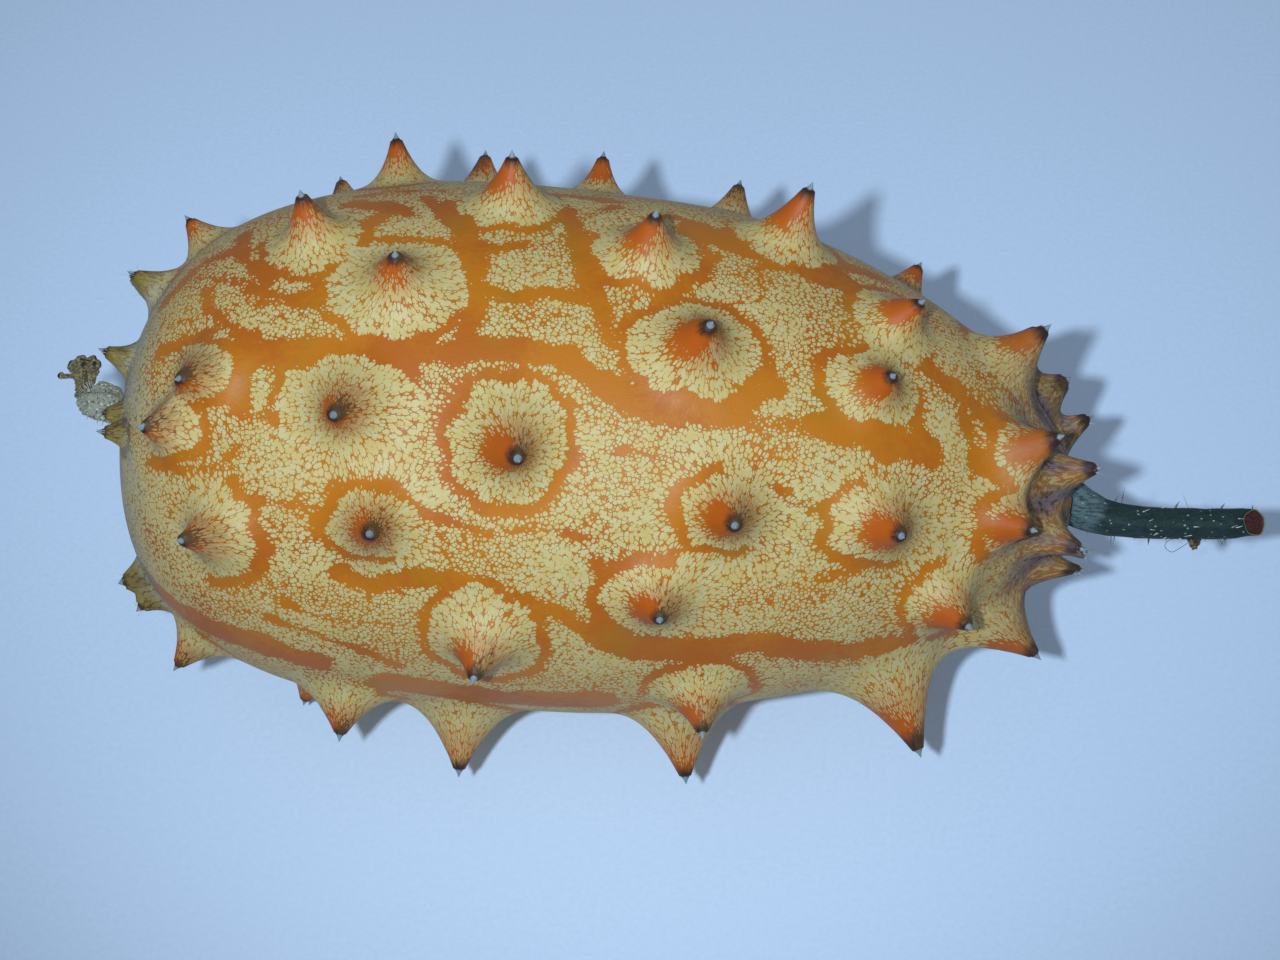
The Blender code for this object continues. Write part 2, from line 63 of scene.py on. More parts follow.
# ---------------------------------------------------------------- shader maths
class Wire:
    """A socket that can be reckoned with as if it were a number."""

    def __init__(self, shade: "Shade", socket: bpy.types.NodeSocket) -> None:
        """Keep the material being built and the socket that carries the value."""
        self.shade = shade
        self.socket = socket

    def __add__(self, other: "Wire | float") -> "Wire":
        """Sum."""
        return self.shade.math("ADD", self, other)

    def __sub__(self, other: "Wire | float") -> "Wire":
        """Difference."""
        return self.shade.math("SUBTRACT", self, other)

    def __rsub__(self, other: "Wire | float") -> "Wire":
        """Difference from a number."""
        return self.shade.math("SUBTRACT", other, self)

    def __mul__(self, other: "Wire | float") -> "Wire":
        """Product."""
        return self.shade.math("MULTIPLY", self, other)

    __radd__ = __add__
    __rmul__ = __mul__


class Shade:
    """Builds the nodes of one material."""

    def __init__(self, name: str, **constants: float | Colour) -> None:
        """Start a Principled material.

        Args:
            name: the material's name.
            constants: values of the shader's own sockets, by name with underscores.
        """
        self.material = bpy.data.materials.new(name)
        self.material.use_nodes = True
        self.tree = self.material.node_tree
        self.shader = self.tree.nodes["Principled BSDF"]
        for key, value in constants.items():
            socket = self.shader.inputs[key.replace("_", " ").title().replace("Ior", "IOR")]
            socket.default_value = (*value, 1.0) if isinstance(value, tuple) else value

    def node(self, kind: str, settings: dict | None = None, inputs: dict | None = None) -> bpy.types.Node:
        """Add a node.

        Args:
            kind: the node's type, without the ShaderNode in front.
            settings: the node's own properties, set before its sockets.
            inputs: values or wires of its sockets, by name or number.

        Returns:
            The new node.
        """
        made = self.tree.nodes.new("ShaderNode" + kind)
        for key, value in (settings or {}).items():
            setattr(made, key, value)
        for key, value in (inputs or {}).items():
            if isinstance(value, Wire):
                self.tree.links.new(value.socket, made.inputs[key])
            elif isinstance(value, tuple) and len(value) == 3 and made.inputs[key].type == "RGBA":
                made.inputs[key].default_value = (*value, 1.0)
            else:
                made.inputs[key].default_value = value
        return made

    def math(self, operation: str, first: Wire | float, second: Wire | float) -> Wire:
        """Reckon with two values by one Math node."""
        made = self.node("Math", {"operation": operation}, {0: first, 1: second})
        return Wire(self, made.outputs[0])

    def move(self, operation: str, first: Wire | tuple, second: Wire | tuple) -> Wire:
        """Reckon with two vectors by one Vector Math node."""
        made = self.node("VectorMath", {"operation": operation}, {0: first, 1: second})
        return Wire(self, made.outputs[0])

    def step(self, value: Wire, low: float, high: float) -> Wire:
        """Rise smoothly from 0 at low to 1 at high; high may be below low.

        Args:
            value: what is read.
            low: where the rise starts.
            high: where it ends.

        Returns:
            The share of the rise.
        """
        made = self.node(
            "MapRange",
            {"interpolation_type": "SMOOTHSTEP"},
            {"Value": value, "From Min": low, "From Max": high},
        )
        return Wire(self, made.outputs[0])

    def attribute(self, name: str) -> Wire:
        """The mesh's own value of that name at the shaded place."""
        return Wire(self, self.node("Attribute", {"attribute_name": name}).outputs["Fac"])

    def place(self, name: str) -> Wire:
        """The mesh's own vector of that name at the shaded place."""
        return Wire(self, self.node("Attribute", {"attribute_name": name}).outputs["Vector"])

    def position(self) -> Wire:
        """Object coordinates, in millimetres."""
        coordinates = Wire(self, self.node("TexCoord").outputs["Object"])
        return self.move("MULTIPLY", coordinates, (1.0 / MM,) * 3)

    def noise(self, vector: Wire, scale: float, detail: float = 2.0, rough: float = 0.5) -> Wire:
        """Soft noise round 0.5.

        Args:
            vector: the place.
            scale: blotches per millimetre.
            detail: how many finer layers are added.
            rough: how strong the finer layers are.

        Returns:
            The noise.
        """
        made = self.node(
            "TexNoise",
            {"noise_dimensions": "3D"},
            {"Vector": vector, "Scale": scale, "Detail": detail, "Roughness": rough},
        )
        return Wire(self, made.outputs[0])

    def cells(self, vector: Wire, scale: float, feature: str = "F1") -> Wire:
        """Distance to the nearest of many scattered seeds, or to the edge of the seed's cell."""
        made = self.node("TexVoronoi", {"feature": feature}, {"Vector": vector, "Scale": scale})
        return Wire(self, made.outputs["Distance"])

    def mix(self, share: Wire | float, first: Wire | Colour, second: Wire | Colour) -> Wire:
        """Blend two colours."""
        made = self.node("Mix", {"data_type": "RGBA"}, {0: share, 6: first, 7: second})
        return Wire(self, made.outputs[2])

    def finish(self, bump: Wire | None = None, depth: float = 0.0, **wires: Wire) -> bpy.types.Material:
        """Join the wires to the shader's sockets.

        Args:
            bump: height of the fine relief, from 0 to 1.
            depth: how high 1 stands, in millimetres.
            wires: wires to join, by socket name with underscores.

        Returns:
            The finished material.
        """
        for key, value in wires.items():
            self.tree.links.new(value.socket, self.shader.inputs[key.replace("_", " ").title()])
        if bump is not None:
            made = self.node("Bump", {}, {"Height": bump, "Distance": depth * MM, "Strength": 1.0})
            self.tree.links.new(made.outputs[0], self.shader.inputs["Normal"])
        return self.material


# ---------------------------------------------------------------- the fruit's form
@dataclass(frozen=True)
class Body:
    """The fruit without its horns, round a slightly bent middle line along X."""

    length: float = 118.0
    radius: float = 32.8
    widest: float = 0.38
    fullness: float = 2.5
    flower_end_rounding: float = 0.36
    stalk_end_rounding: float = 0.64
    bow: float = 2.5
    bow_place: float = -11.0
    lump: float = 0.35
    seat_x: float = 57.5
    floor_drop: float = 37.4

    def thickness(self, station: np.ndarray) -> np.ndarray:
        """Radius of the body at stations along it.

        Args:
            station: stations along the body.

        Returns:
            The radius at each, in millimetres.
        """
        share = np.clip(np.asarray(station, float) / self.length, 0.0, 1.0)
        before = share < self.widest
        ahead = (share - self.widest) / (1.0 - self.widest)
        away = np.where(before, (self.widest - share) / self.widest, ahead)
        rounding = np.where(before, self.flower_end_rounding, self.stalk_end_rounding)
        return self.radius * np.maximum(1.0 - away ** self.fullness, 0.0) ** rounding

    def points(self, station: np.ndarray, turn: np.ndarray) -> np.ndarray:
        """Places on the smooth body, a row for each station and turn.

        Args:
            station: stations of the places.
            turn: their turns.

        Returns:
            A row of X, Y and Z for each place.
        """
        station, turn = np.broadcast_arrays(np.asarray(station, float), np.asarray(turn, float))
        angle = np.radians(turn)
        radius = self.thickness(station)
        swell = np.sin(0.11 * station + 2.0 * angle) * np.sin(0.07 * station - 3.0 * angle + 1.0)
        radius = radius + self.lump * swell * radius / self.radius
        along = station - self.length / 2.0
        back = self.bow * (1.0 - (2.0 * (along - self.bow_place) / self.length) ** 2)
        return np.stack([along, back - radius * np.sin(angle), radius * np.cos(angle)], -1)

    def axes(self, station: float, turn: float) -> tuple[np.ndarray, ...]:
        """Centre, outward normal, and the directions to the stalk and to the front.

        Args:
            station: station of the place.
            turn: its turn.

        Returns:
            The place and the three directions, each 1 long.
        """
        nudge = 0.02
        low, high = max(station - nudge, 0.0), min(station + nudge, self.length)
        to_stalk = self.points(high, turn) - self.points(low, turn)
        to_stalk = to_stalk / np.linalg.norm(to_stalk)
        to_front = self.points(station, turn + 1.0) - self.points(station, turn - 1.0)
        to_front = to_front / np.linalg.norm(to_front)
        normal = np.cross(to_front, to_stalk)
        return self.points(station, turn), normal / np.linalg.norm(normal), to_stalk, to_front

    def meridian(self, steps: int = 4000) -> tuple[np.ndarray, ...]:
        """Walk from end to end.

        Args:
            steps: how many steps are taken.

        Returns:
            Stations, the length walked, the share of the skin passed, and the logarithm of
            the radius of the flat map on which small circles stay round.
        """
        walk = np.linspace(0.0, math.pi, steps + 1)
        station = self.length * (1.0 - np.cos(walk)) / 2.0
        radius = self.thickness(station)
        step = np.hypot(np.diff(station), np.diff(radius))
        middle = (radius[1:] + radius[:-1]) / 2.0
        length = np.concatenate([[0.0], np.cumsum(step)])
        area = np.concatenate([[0.0], np.cumsum(step * middle)])
        spread = np.concatenate([[0.0], np.cumsum(step / middle)])
        return station, length, area / area[-1], spread


@dataclass
class Horn:
    """One horn of the rind, and the pale disc that it stands in."""

    station: float
    turn: float
    height: float
    spread: float
    to_stalk: float = 0.0
    to_front: float = 0.0
    flare: float = 2.8
    foot: bool = False
    disc: tuple[float, float] = (0.0, 0.0)
    ring: tuple[float, float] = (0.0, 0.0)


# Station, turn, height, spread, lean to the stalk, lean to the front and perhaps flare,
# as in the part's source.
HORNS_SET_BY_HAND = (
    # round the dried flower
    (2.0, -4, 4.2, 3.6, -0.8, -1.2),
    (1.8, 23, 3.0, 2.5, 0.0, 0.3),
    (2.6, 33, 3.2, 2.6, 0.0, -0.1),
    (3.2, -48, 4.0, 4.2, -0.7, -1.0),
    (4.2, -38, 5.2, 5.5, -0.5, 0.0),
    (3.0, 112, 4.0, 3.6, 0.0, 0.0),
    (4.8, 117, 4.0, 4.0, 0.0, 0.0),
    (8.5, -53, 5.3, 6.5, 0.0, 0.0),
    (12.5, -85, 7.0, 7.5, 0.0, 0.0),
    (11, 32, 5.5, 6.5, 0.0, 0.5),
    (15, 20, 6.5, 7.5, 0.5, 2.5),
    (17, 57, 7.0, 7.5, -1.0, -1.5),
    (10.5, 112, 5.5, 6.5, 0.0, 0.0),
    # along the top
    (25, -14, 7.0, 8.0, 0.5, 0.5, 3.4),
    (23.5, -78, 7.5, 8.0, 0.0, 0.0),
    (32, -53, 6.6, 8.0, 0.0, 0.0, 4.0),
    (36, 2, 6.5, 8.0, 1.0, 0.0),
    (41, -73, 7.5, 8.0, 0.0, 0.0),
    (47.5, -25, 7.0, 8.0, 0.0, 0.5),
    (56.5, -61, 6.0, 7.5, 0.0, 0.0, 4.2),
    (64, -11, 7.0, 8.0, 0.3, 0.3),
    (73, -73, 7.5, 8.0, 0.0, 0.0),
    (80, -29, 8.1, 8.5, 0.6, 0.5, 3.3),
    (70, 12, 8.0, 9.0, 1.0, 0.0),
    (95, -79, 7.5, 8.0, 0.0, 0.0),
    (93, -11, 6.0, 7.5, 0.5, 1.5),
    (90.5, 13, 6.0, 7.5, -0.3, 0.7),
    # along the front
    (50, 34, 7.5, 9.0, 2.0, 2.3),
    (35, 51, 7.5, 8.5, 1.5, -0.7),
    (32, 28, 7.5, 8.5, 0.0, 2.2),
    (74.5, 45, 7.5, 8.5, 0.0, 0.5),
    (92, 47, 7.0, 8.5, -0.5, 0.0),
    (67, 65, 6.5, 8.0, 0.0, -1.0),
    (47.5, 77, 7.0, 8.5, -0.5, 0.0),
    (100, 76, 7.5, 8.5, -0.4, -2.0),
    # low on the front
    (72.5, 98, 6.5, 8.5, -0.3, 0.0),
    (70, 119, 9.4, 9.5, 0.0, 0.0, 2.5),
    (43, 122, 9.1, 9.5, 0.0, 0.0, 2.5),
    (29, 111, 6.2, 8.0, 0.4, 0.0, 2.4),
    (22, 146, 7.5, 8.0, 0.0, 0.0),
    (95.5, 116.5, 11.7, 12.5, -0.4, 0.0, 3.0),
    # the crown round the stalk
    (107.5, -33, 7.5, 8.0, 0.0, 0.0),
    (108, -64, 7.5, 7.5, 0.0, 0.0),
    (107.8, 19, 7.7, 7.5, 0.2, -0.6),
    (106, 48, 6.5, 7.2, 0.5, -0.4),
    (112.5, -62, 5.6, 5.0, 0.0, 0.0),
    (115.0, -84, 6.0, 4.6, 0.0, 1.7),
    (114, 19, 6.0, 5.2, 0.0, 0.0),
    (113, 65, 5.7, 5.0, 0.0, -0.6),
    (116.2, 135, 5.0, 4.4, 0.0, 0.0),
    (113.5, 102, 4.6, 3.4, 3.0, -0.8, 2.0),
    (107.5, 113, 8.3, 7.8, 1.7, 0.0, 2.4),
)

# The pale discs that differ from the rule, by station and turn: half length, half width, and the
# angles between which a bare ring runs round them (0 towards the stalk, 90 towards the front).
DISCS_SET_BY_HAND = {
    (70, 12): (7.9, 6.4, 0, 360),
    (90.5, 13): (6.4, 5.1, 100, 300),
    (50, 34): (7.1, 7.4, 0, 360),
    (32, 28): (8.4, 6.1, 165, 330),
    (35, 51): (5.9, 4.8, 60, 320),
    (15, 20): (4.4, 4.2, -100, 110),
    (11, 32): (4.8, 3.7, -30, 110),
    (17, 57): (5.4, 6.2, -80, 110),
    (67, 65): (6.5, 5.5, 120, 290),
    (74.5, 45): (6.1, 5.1, 60, 260),
    (92, 47): (6.8, 5.4, 60, 240),
    (106, 48): (3.9, 4.0, 100, 250),
    (107.8, 19): (4.3, 4.6, 110, 250),
    (25, -14): (6.3, 6.8, -10, 190),
    (47.5, -25): (6.6, 6.2, 20, 170),
    (64, -11): (6.7, 5.5, -60, 200),
    (36, 2): (8.3, 7.0, 0, 360),
    (47.5, 77): (6.8, 7.8, -60, 300),
    (100, 76): (5.4, 6.0, 130, 270),
}


@dataclass
class HornPlan:
    """Where the horns stand: the listed face, three feet, and a rule for the hidden side."""

    body: Body
    feet: tuple[tuple[float, float, float], ...] = ((36, 157, 9.0), (36, 203, 9.0), (80, 180, 9.0))
    foot_trim: float = 0.9
    floor_clearance: float = 0.6
    seed: int = 7
    back_turns: tuple[float, float] = (155.0, 272.0)
    back_stations: tuple[float, float] = (2.5, 115.0)
    back_tries: int = 4000
    spacing_middle: float = 17.5
    spacing_ends: float = 7.5
    heights: tuple[float, float] = (6.6, 8.4)
    height_min: float = 3.4
    spread_share: float = 0.48
    height_per_spread: float = 1.15
    disc_share: float = 0.8

    def standing_feet(self) -> list[Horn]:
        """The three horns that carry the fruit.

        Returns:
            The three horns, each as high as its place is over the floor.
        """
        horns = []
        for station, turn, spread in self.feet:
            centre, normal, _, _ = self.body.axes(station, turn)
            height = (self.body.floor_drop + self.foot_trim + centre[2]) / -normal[2]
            horns.append(Horn(station, turn, height, spread, foot=True))
        return horns

    def height_over_floor(self, station: float, turn: float, wanted: float) -> float:
        """The wanted height, or less where a horn would come near the floor.

        Args:
            station: the horn's station.
            turn: its turn.
            wanted: the height that it would have in the open.

        Returns:
            The height that it gets.
        """
        centre, normal, _, _ = self.body.axes(station, turn)
        if normal[2] >= 0.0:
            return wanted
        room = (self.body.floor_drop - self.floor_clearance + centre[2]) / -normal[2]
        return min(wanted, room)

    def of_the_back(self, placed: list[Horn]) -> list[Horn]:
        """Fill the back and underside, each new horn as far from the others as it can be.

        Args:
            placed: the horns that stand already.

        Returns:
            The new horns.
        """
        draw = random.Random(self.seed)
        tries = []
        for _ in range(self.back_tries):
            tries.append((draw.uniform(*self.back_stations), draw.uniform(*self.back_turns)))
        tries = np.array(tries)
        points = self.body.points(tries[:, 0], tries[:, 1])
        thick = self.body.thickness(tries[:, 0]) / self.body.radius
        spacing = self.spacing_ends + (self.spacing_middle - self.spacing_ends) * thick ** 2
        room = np.full(len(tries), np.inf)
        for horn in placed:
            away = np.linalg.norm(points - self.body.points(horn.station, horn.turn), axis=1)
            room = np.minimum(room, away)
        added = []
        while (room / spacing).max() > 1.0:
            best = int((room / spacing).argmax())
            station, turn = (float(value) for value in tries[best])
            spread = self.spread_share * float(spacing[best])
            wanted = min(draw.uniform(*self.heights), self.height_per_spread * spread)
            height = self.height_over_floor(station, turn, wanted)
            if height > self.height_min:
                added.append(Horn(station, turn, height, spread))
            room = np.minimum(room, np.linalg.norm(points - points[best], axis=1))
        return added

    def every(self) -> list[Horn]:
        """Every horn of the fruit, each with its disc.

        Returns:
            The listed horns, the feet and the horns of the back.
        """
        placed = [Horn(*row) for row in HORNS_SET_BY_HAND] + self.standing_feet()
        horns = placed + self.of_the_back(placed)
        for horn in horns:
            size = self.disc_share * horn.spread
            row = DISCS_SET_BY_HAND.get((horn.station, horn.turn), (size, size, 0, 0))
            horn.disc, horn.ring = row[:2], row[2:]
        return horns


# ---------------------------------------------------------------- the marbling
@dataclass(frozen=True)
class Band:
    """A bare orange band in the marbling: half its width, and the stations and turns it runs through."""

    half_width: float
    course: tuple[tuple[float, float], ...]
    strength: float = 1.0


BANDS_SET_BY_HAND = (
    # the long band over the front, and its branches
    Band(1.7, ((19.5, 27), (19.5, 20), (21, 16.5), (30, 16), (38, 17.5), (46, 15.5), (56, 16))),
    Band(1.1, ((38.8, 19), (39.2, 31))),
    Band(2.0, ((56, 17), (60, 21), (66, 25.5), (74, 25.5))),
    Band(1.6, ((75, 24), (79, 18))),
    Band(1.9, ((84, 24.5), (90, 25.5), (97, 27))),
    Band(1.1, ((76, 26.5), (84, 25)), 0.55),
    # the band low on the front
    Band(2.2, ((60.5, 75), (65, 80), (72, 81.5), (79, 80), (84, 84.5), (90, 89), (98, 93))),
    Band(0.9, ((60.3, 57), (60.2, 66), (60.6, 75))),
    # along the top
    Band(1.0, ((8, 10), (12, 9), (17, 8), (20, 13))),
    Band(1.0, ((13, -4), (14, 3), (17, 8))),
    Band(1.1, ((19, 0), (23, 3.5), (28, 2.5))),
    Band(1.0, ((20, 4), (27, 5.5))),
    Band(1.1, ((15.5, -25), (16, -16), (18, -8), (21, -2))),
    Band(1.4, ((7, -13), (11, -19), (15, -18)), 0.7),
    Band(0.5, ((11, -12), (15, -6), (19, -2)), 0.8),
    Band(1.6, ((28, -3), (31, -14), (33, -22))),
    Band(1.4, ((40, -24), (43, -11), (45, -3), (45.5, 6), (44.5, 13))),
    Band(1.0, ((43, -9.5), (46.5, -8), (50, -10))),
    Band(1.4, ((54.5, -24), (55.5, -12), (57, -4), (59, 4))),
    Band(1.1, ((45.5, 2), (49, 4.5), (53, 2), (59, 3.5), (60.5, 13))),
    Band(2.5, ((69, -24), (76, -19.5), (87, -19))),
    Band(0.8, ((77, -14), (77.6, -4))),
    Band(1.5, ((95.5, -3), (99, 3), (104, 8)), 0.8),
    Band(1.3, ((96, 10), (96, 20), (97, 28)), 0.9),
    Band(1.1, ((100.5, 2), (101.5, 15), (103, 28), (106, 33))),
    # over the top edge
    Band(1.5, ((28, -29), (33, -25), (36, -20))),
    Band(1.0, ((37, -28), (38.5, -22), (41, -15))),
    Band(0.8, ((28, -34), (33, -35), (39, -33)), 0.7),
    Band(0.9, ((52.5, -34), (53.5, -27), (53, -20))),
    Band(0.8, ((60, -30), (57, -24), (55.5, -19))),
    Band(1.3, ((52, -34), (60, -34)), 0.8),
    Band(1.1, ((65, -28), (70, -27)), 0.8),
    Band(1.6, ((84, -23), (88, -29), (92, -32)), 0.8),
    # thin lines of the front
    Band(0.6, ((13, 29.5), (20, 30.3), (27, 30.5))),
    Band(0.7, ((7, 42.5), (12, 43.5), (17, 41.5), (19, 37))),
    Band(0.5, ((13, 46), (22, 48.2), (29, 49))),
    Band(0.6, ((40, 46), (43, 50), (48, 52), (55, 50.5), (61, 52.5))),
    Band(0.5, ((57, 35.5), (63, 34), (70, 36.5))),
    Band(1.4, ((31, 63), (35, 65.5), (39, 63), (44, 62))),
    Band(0.8, ((22, 77), (28, 80), (33, 84), (37, 89))),
    Band(0.9, ((24, 71), (27, 74), (33, 75)), 0.7),
    Band(1.2, ((55.5, 68), (58, 72), (60, 75)), 0.8),
    Band(0.9, ((80.5, 40), (84, 44)), 0.7),
    Band(0.7, ((85, 61), (94, 60)), 0.7),
    # the rosy belt under the front
    Band(2.6, ((4, 94), (12, 90), (20, 88), (27, 91))),
    Band(3.4, ((36, 99), (47, 103), (60, 102))),
)


class Smoothing(Enum):
    """How a mark fades at its edge, in millimetres."""

    CRISP = 0.35
    SOFT = 0.5
    WIDE = 1.5


def fade(value: np.ndarray, edge: float, smoothing: Smoothing) -> np.ndarray:
    """1 well below the edge, 0 well above it, and smooth between.

    Args:
        value: distances from the mark's middle.
        edge: the distance at which the mark is half gone.
        smoothing: how wide the change is.

    Returns:
        The mark's share at each distance.
    """
    share = np.clip((edge - value) / (2.0 * smoothing.value) + 0.5, 0.0, 1.0)
    return share * share * (3.0 - 2.0 * share)


def ramp(value: np.ndarray, low: float, high: float) -> np.ndarray:
    """Rise evenly from 0 at low to 1 at high; high may be below low."""
    return np.clip((value - low) / (high - low), 0.0, 1.0)


def wrapped(angle: np.ndarray) -> np.ndarray:
    """Degrees brought between -180 and 180."""
    return (angle + 180.0) % 360.0 - 180.0


def round_angles(sides: int) -> np.ndarray:
    """Angles spread evenly round a circle."""
    return 2.0 * math.pi * np.arange(sides) / sides


def cloud(points: np.ndarray, size: tuple[float, float, float], seed: float) -> np.ndarray:
    """Seeded soft noise, roughly from -1 to 1.

    Args:
        points: places in millimetres.
        size: how long a blotch is along each axis, in millimetres.
        seed: moves to another part of the noise.

    Returns:
        A value for each place.
    """
    spots = (points / np.array(size) + seed).tolist()
    return np.array([noise.noise(spot) for spot in spots]) * 1.6


@dataclass
class Marbling:
    """How much cream skin there is over the orange, and how the skin is tinted, at each place.

    The cream grains grow together where the density is high. Pale discs stand round the
    horns, each in a ring of bare orange, and bare bands wander between them.
    """

    body: Body
    horns: list[Horn]
    seed: int = 11
    back_bands: int = 34
    back_turns: tuple[float, float] = (122.0, 308.0)
    back_stations: tuple[float, float] = (8.0, 98.0)
    back_widths: tuple[float, ...] = (0.8, 1.2, 2.2, 3.0)
    back_knots: tuple[int, int] = (3, 6)
    back_strides: tuple[float, float] = (5.0, 9.0)
    back_drift: float = 5.0
    back_swerve: float = 8.0
    calm_front: tuple[float, float] = (-55.0, 118.0)
    creamy_turns: tuple[float, ...] = (50.0, 140.0, 228.0)
    creamy_half: float = 30.0
    base_density: float = 0.38
    creamy_density: float = 0.10
    patch_density: float = 0.28
    patch_size: tuple[float, float, float] = (8.0, 4.5, 4.5)
    end_density: float = 0.15
    end_stations: tuple[float, float] = (8.0, 3.0)
    disc_density: float = 0.60
    bare: float = -1.2
    wobble_size: tuple[float, float, float] = (3.0, 3.0, 3.0)
    band_wobble: float = 0.5
    band_trim: float = 0.4
    disc_wobble: float = 0.55
    ring_width: float = 1.0
    ring_fade: float = 12.0
    ring_gain: float = 1.6
    cone_reach: float = 2.3
    # Painted light: past flower_part the front horns' bare orange reaches further on the flank towards the
    # flower's end, which the key light strikes.
    front_side: float = math.pi - 0.25
    lit_flank_reach: float = 1.7
    flower_blush: float = 0.4
    flower_part: float = 45.0
    back_blush: tuple[float, float] = (0.3, 1.6)
    soot_reach: float = 5.6
    soot_turn: float = 0.4
    soot_power: float = 1.5

    def wandering_bands(self) -> list[Band]:
        """Bare bands for the back and the underside.

        Returns:
            The bands.
        """
        draw = random.Random(self.seed)
        bands = []
        for _ in range(self.back_bands):
            station = draw.uniform(*self.back_stations)
            turn = draw.uniform(*self.back_turns)
            drift = draw.uniform(-self.back_drift, self.back_drift)
            course = []
            for _ in range(draw.randint(*self.back_knots)):
                course.append((station, turn))
                station += draw.uniform(*self.back_strides)
                turn += drift + draw.uniform(-self.back_swerve, self.back_swerve)
                turn = min(max(turn, self.back_turns[0]), self.back_turns[1])
            bands.append(Band(draw.choice(self.back_widths), tuple(course)))
        return bands

    def band_distance(self, band: Band, station: np.ndarray, turn: np.ndarray) -> np.ndarray:
        """Distance of each place from a band's middle line, over the skin.

        Args:
            band: the band.
            station: stations of the places.
            turn: turns of the places.

        Returns:
            Distances in millimetres.
        """
        arc = np.radians(1.0) * self.body.thickness(station)
        nearest = np.full(len(station), np.inf)
        for start, end in zip(band.course, band.course[1:]):
            first = wrapped(start[1] - turn)
            across = [first * arc, (first + end[1] - start[1]) * arc]
            ahead = [knot[0] - station for knot in (start, end)]
            run = np.stack([ahead[1] - ahead[0], across[1] - across[0]])
            share = -(ahead[0] * run[0] + across[0] * run[1]) / np.maximum((run ** 2).sum(0), 1e-6)
            share = np.clip(share, 0.0, 1.0)
            gap = np.hypot(ahead[0] + share * run[0], across[0] + share * run[1])
            nearest = np.minimum(nearest, gap)
        return nearest

    def disc_distance(self, horn: Horn, points: np.ndarray, near: np.ndarray) -> tuple[np.ndarray, ...]:
        """Where places lie in a horn's disc.

        Args:
            horn: the horn.
            points: places on the smooth body.
            near: numbers of the places to look at.

        Returns:
            The share of the disc's radius, the distance from the horn's middle, and the
            angle round it, for each place.
        """
        centre, _, to_stalk, to_front = self.body.axes(horn.station, horn.turn)
        away = points[near] - centre
        ahead, across = away @ to_stalk, away @ to_front
        share = np.hypot(ahead / horn.disc[0], across / horn.disc[1])
        return share, np.hypot(ahead, across), np.arctan2(across, ahead)

    def density(self, places: np.ndarray, points: np.ndarray) -> np.ndarray:
        """How dense the cream is; it is bare well below 0 and closed well above it.

        Args:
            places: station and turn of each place.
            points: the same places on the smooth body.

        Returns:
            The density at each place.
        """
        station, turn = places[:, 0], places[:, 1] % 360.0
        wobble = cloud(points, self.wobble_size, 3.3)
        dense = np.full(len(points), self.base_density)
        for middle in self.creamy_turns:
            off = np.abs(wrapped(turn - middle)) / self.creamy_half
            dense += self.creamy_density * np.clip(1.0 - off ** 2, 0.0, 1.0)
        dense += self.patch_density * cloud(points, self.patch_size, 0.0)
        dense += self.end_density * ramp(station, *self.end_stations)
        for band in list(BANDS_SET_BY_HAND) + self.wandering_bands():
            gap = self.band_distance(band, station, turn) + self.band_wobble * wobble + self.band_trim
            share = band.strength * fade(gap, band.half_width, Smoothing.SOFT)
            dense = dense * (1.0 - share) + self.bare * share
        return self.with_discs(dense, points, wobble)

    def with_discs(self, dense: np.ndarray, points: np.ndarray, wobble: np.ndarray) -> np.ndarray:
        """Set the pale discs, their rings and the bare cones into the density.

        Args:
            dense: the density so far.
            points: places on the smooth body.
            wobble: soft noise that makes edges uneven.

        Returns:
            The density with the discs.
        """
        draw = random.Random(self.seed)
        discs = np.full(len(dense), -np.inf)
        rings = np.zeros(len(dense))
        for horn in self.horns:
            middle = self.body.points(horn.station, horn.turn)
            reach = max(horn.disc) + 2.0 * self.ring_width
            near = np.flatnonzero(((points - middle) ** 2).sum(1) < reach ** 2)
            share, gap, angle = self.disc_distance(horn, points, near)
            outside = (share - 1.0) * min(horn.disc) + self.disc_wobble * wobble[near]
            arc = self.ring_arc(horn, angle, draw.uniform(0.0, 2.0 * math.pi))
            from_ring = np.abs(outside - 0.5 * self.ring_width)
            ring = fade(from_ring, 0.4 * self.ring_width, Smoothing.SOFT)
            rings[near] = np.maximum(rings[near], ring * np.clip(self.ring_gain * arc, 0.0, 1.0))
            # On the front horns the bare cone is widened towards the flank that the key light strikes:
            # painted light.
            side, lean = self.blush_and_lit_flank(horn, draw)
            gap = (gap - lean * np.cos(angle - side)) * USUAL_SPREAD / horn.spread
            bare = fade(gap, self.cone_reach, Smoothing.WIDE)
            inside = fade(outside, 0.0, Smoothing.CRISP)
            level = self.disc_density * (1.0 - bare) + self.bare * bare
            discs[near] = np.maximum(discs[near], np.where(inside > 0.5, level, -np.inf))
        dense = dense * (1.0 - rings) + self.bare * rings
        return np.where(np.isfinite(discs), discs, dense)

    def ring_arc(self, horn: Horn, angle: np.ndarray, open_side: float) -> np.ndarray:
        """How much of a disc's bare ring there is at angles round it.

        Args:
            horn: the horn, whose ring runs between two angles where it is listed.
            angle: angles round the disc, 0 towards the stalk.
            open_side: on which side a ring that is not listed is strongest.

        Returns:
            The ring's share at each angle, which may pass 0 and 1.
        """
        start, end = horn.ring
        if end > start:
            off = np.abs(wrapped(np.degrees(angle) - 0.5 * (start + end)))
            return np.clip((0.5 * (end - start) - off) / self.ring_fade + 0.5, 0.0, 1.0)
        return 0.5 + 0.5 * np.cos(angle - open_side) + 0.35 * np.cos(2.0 * angle + open_side)

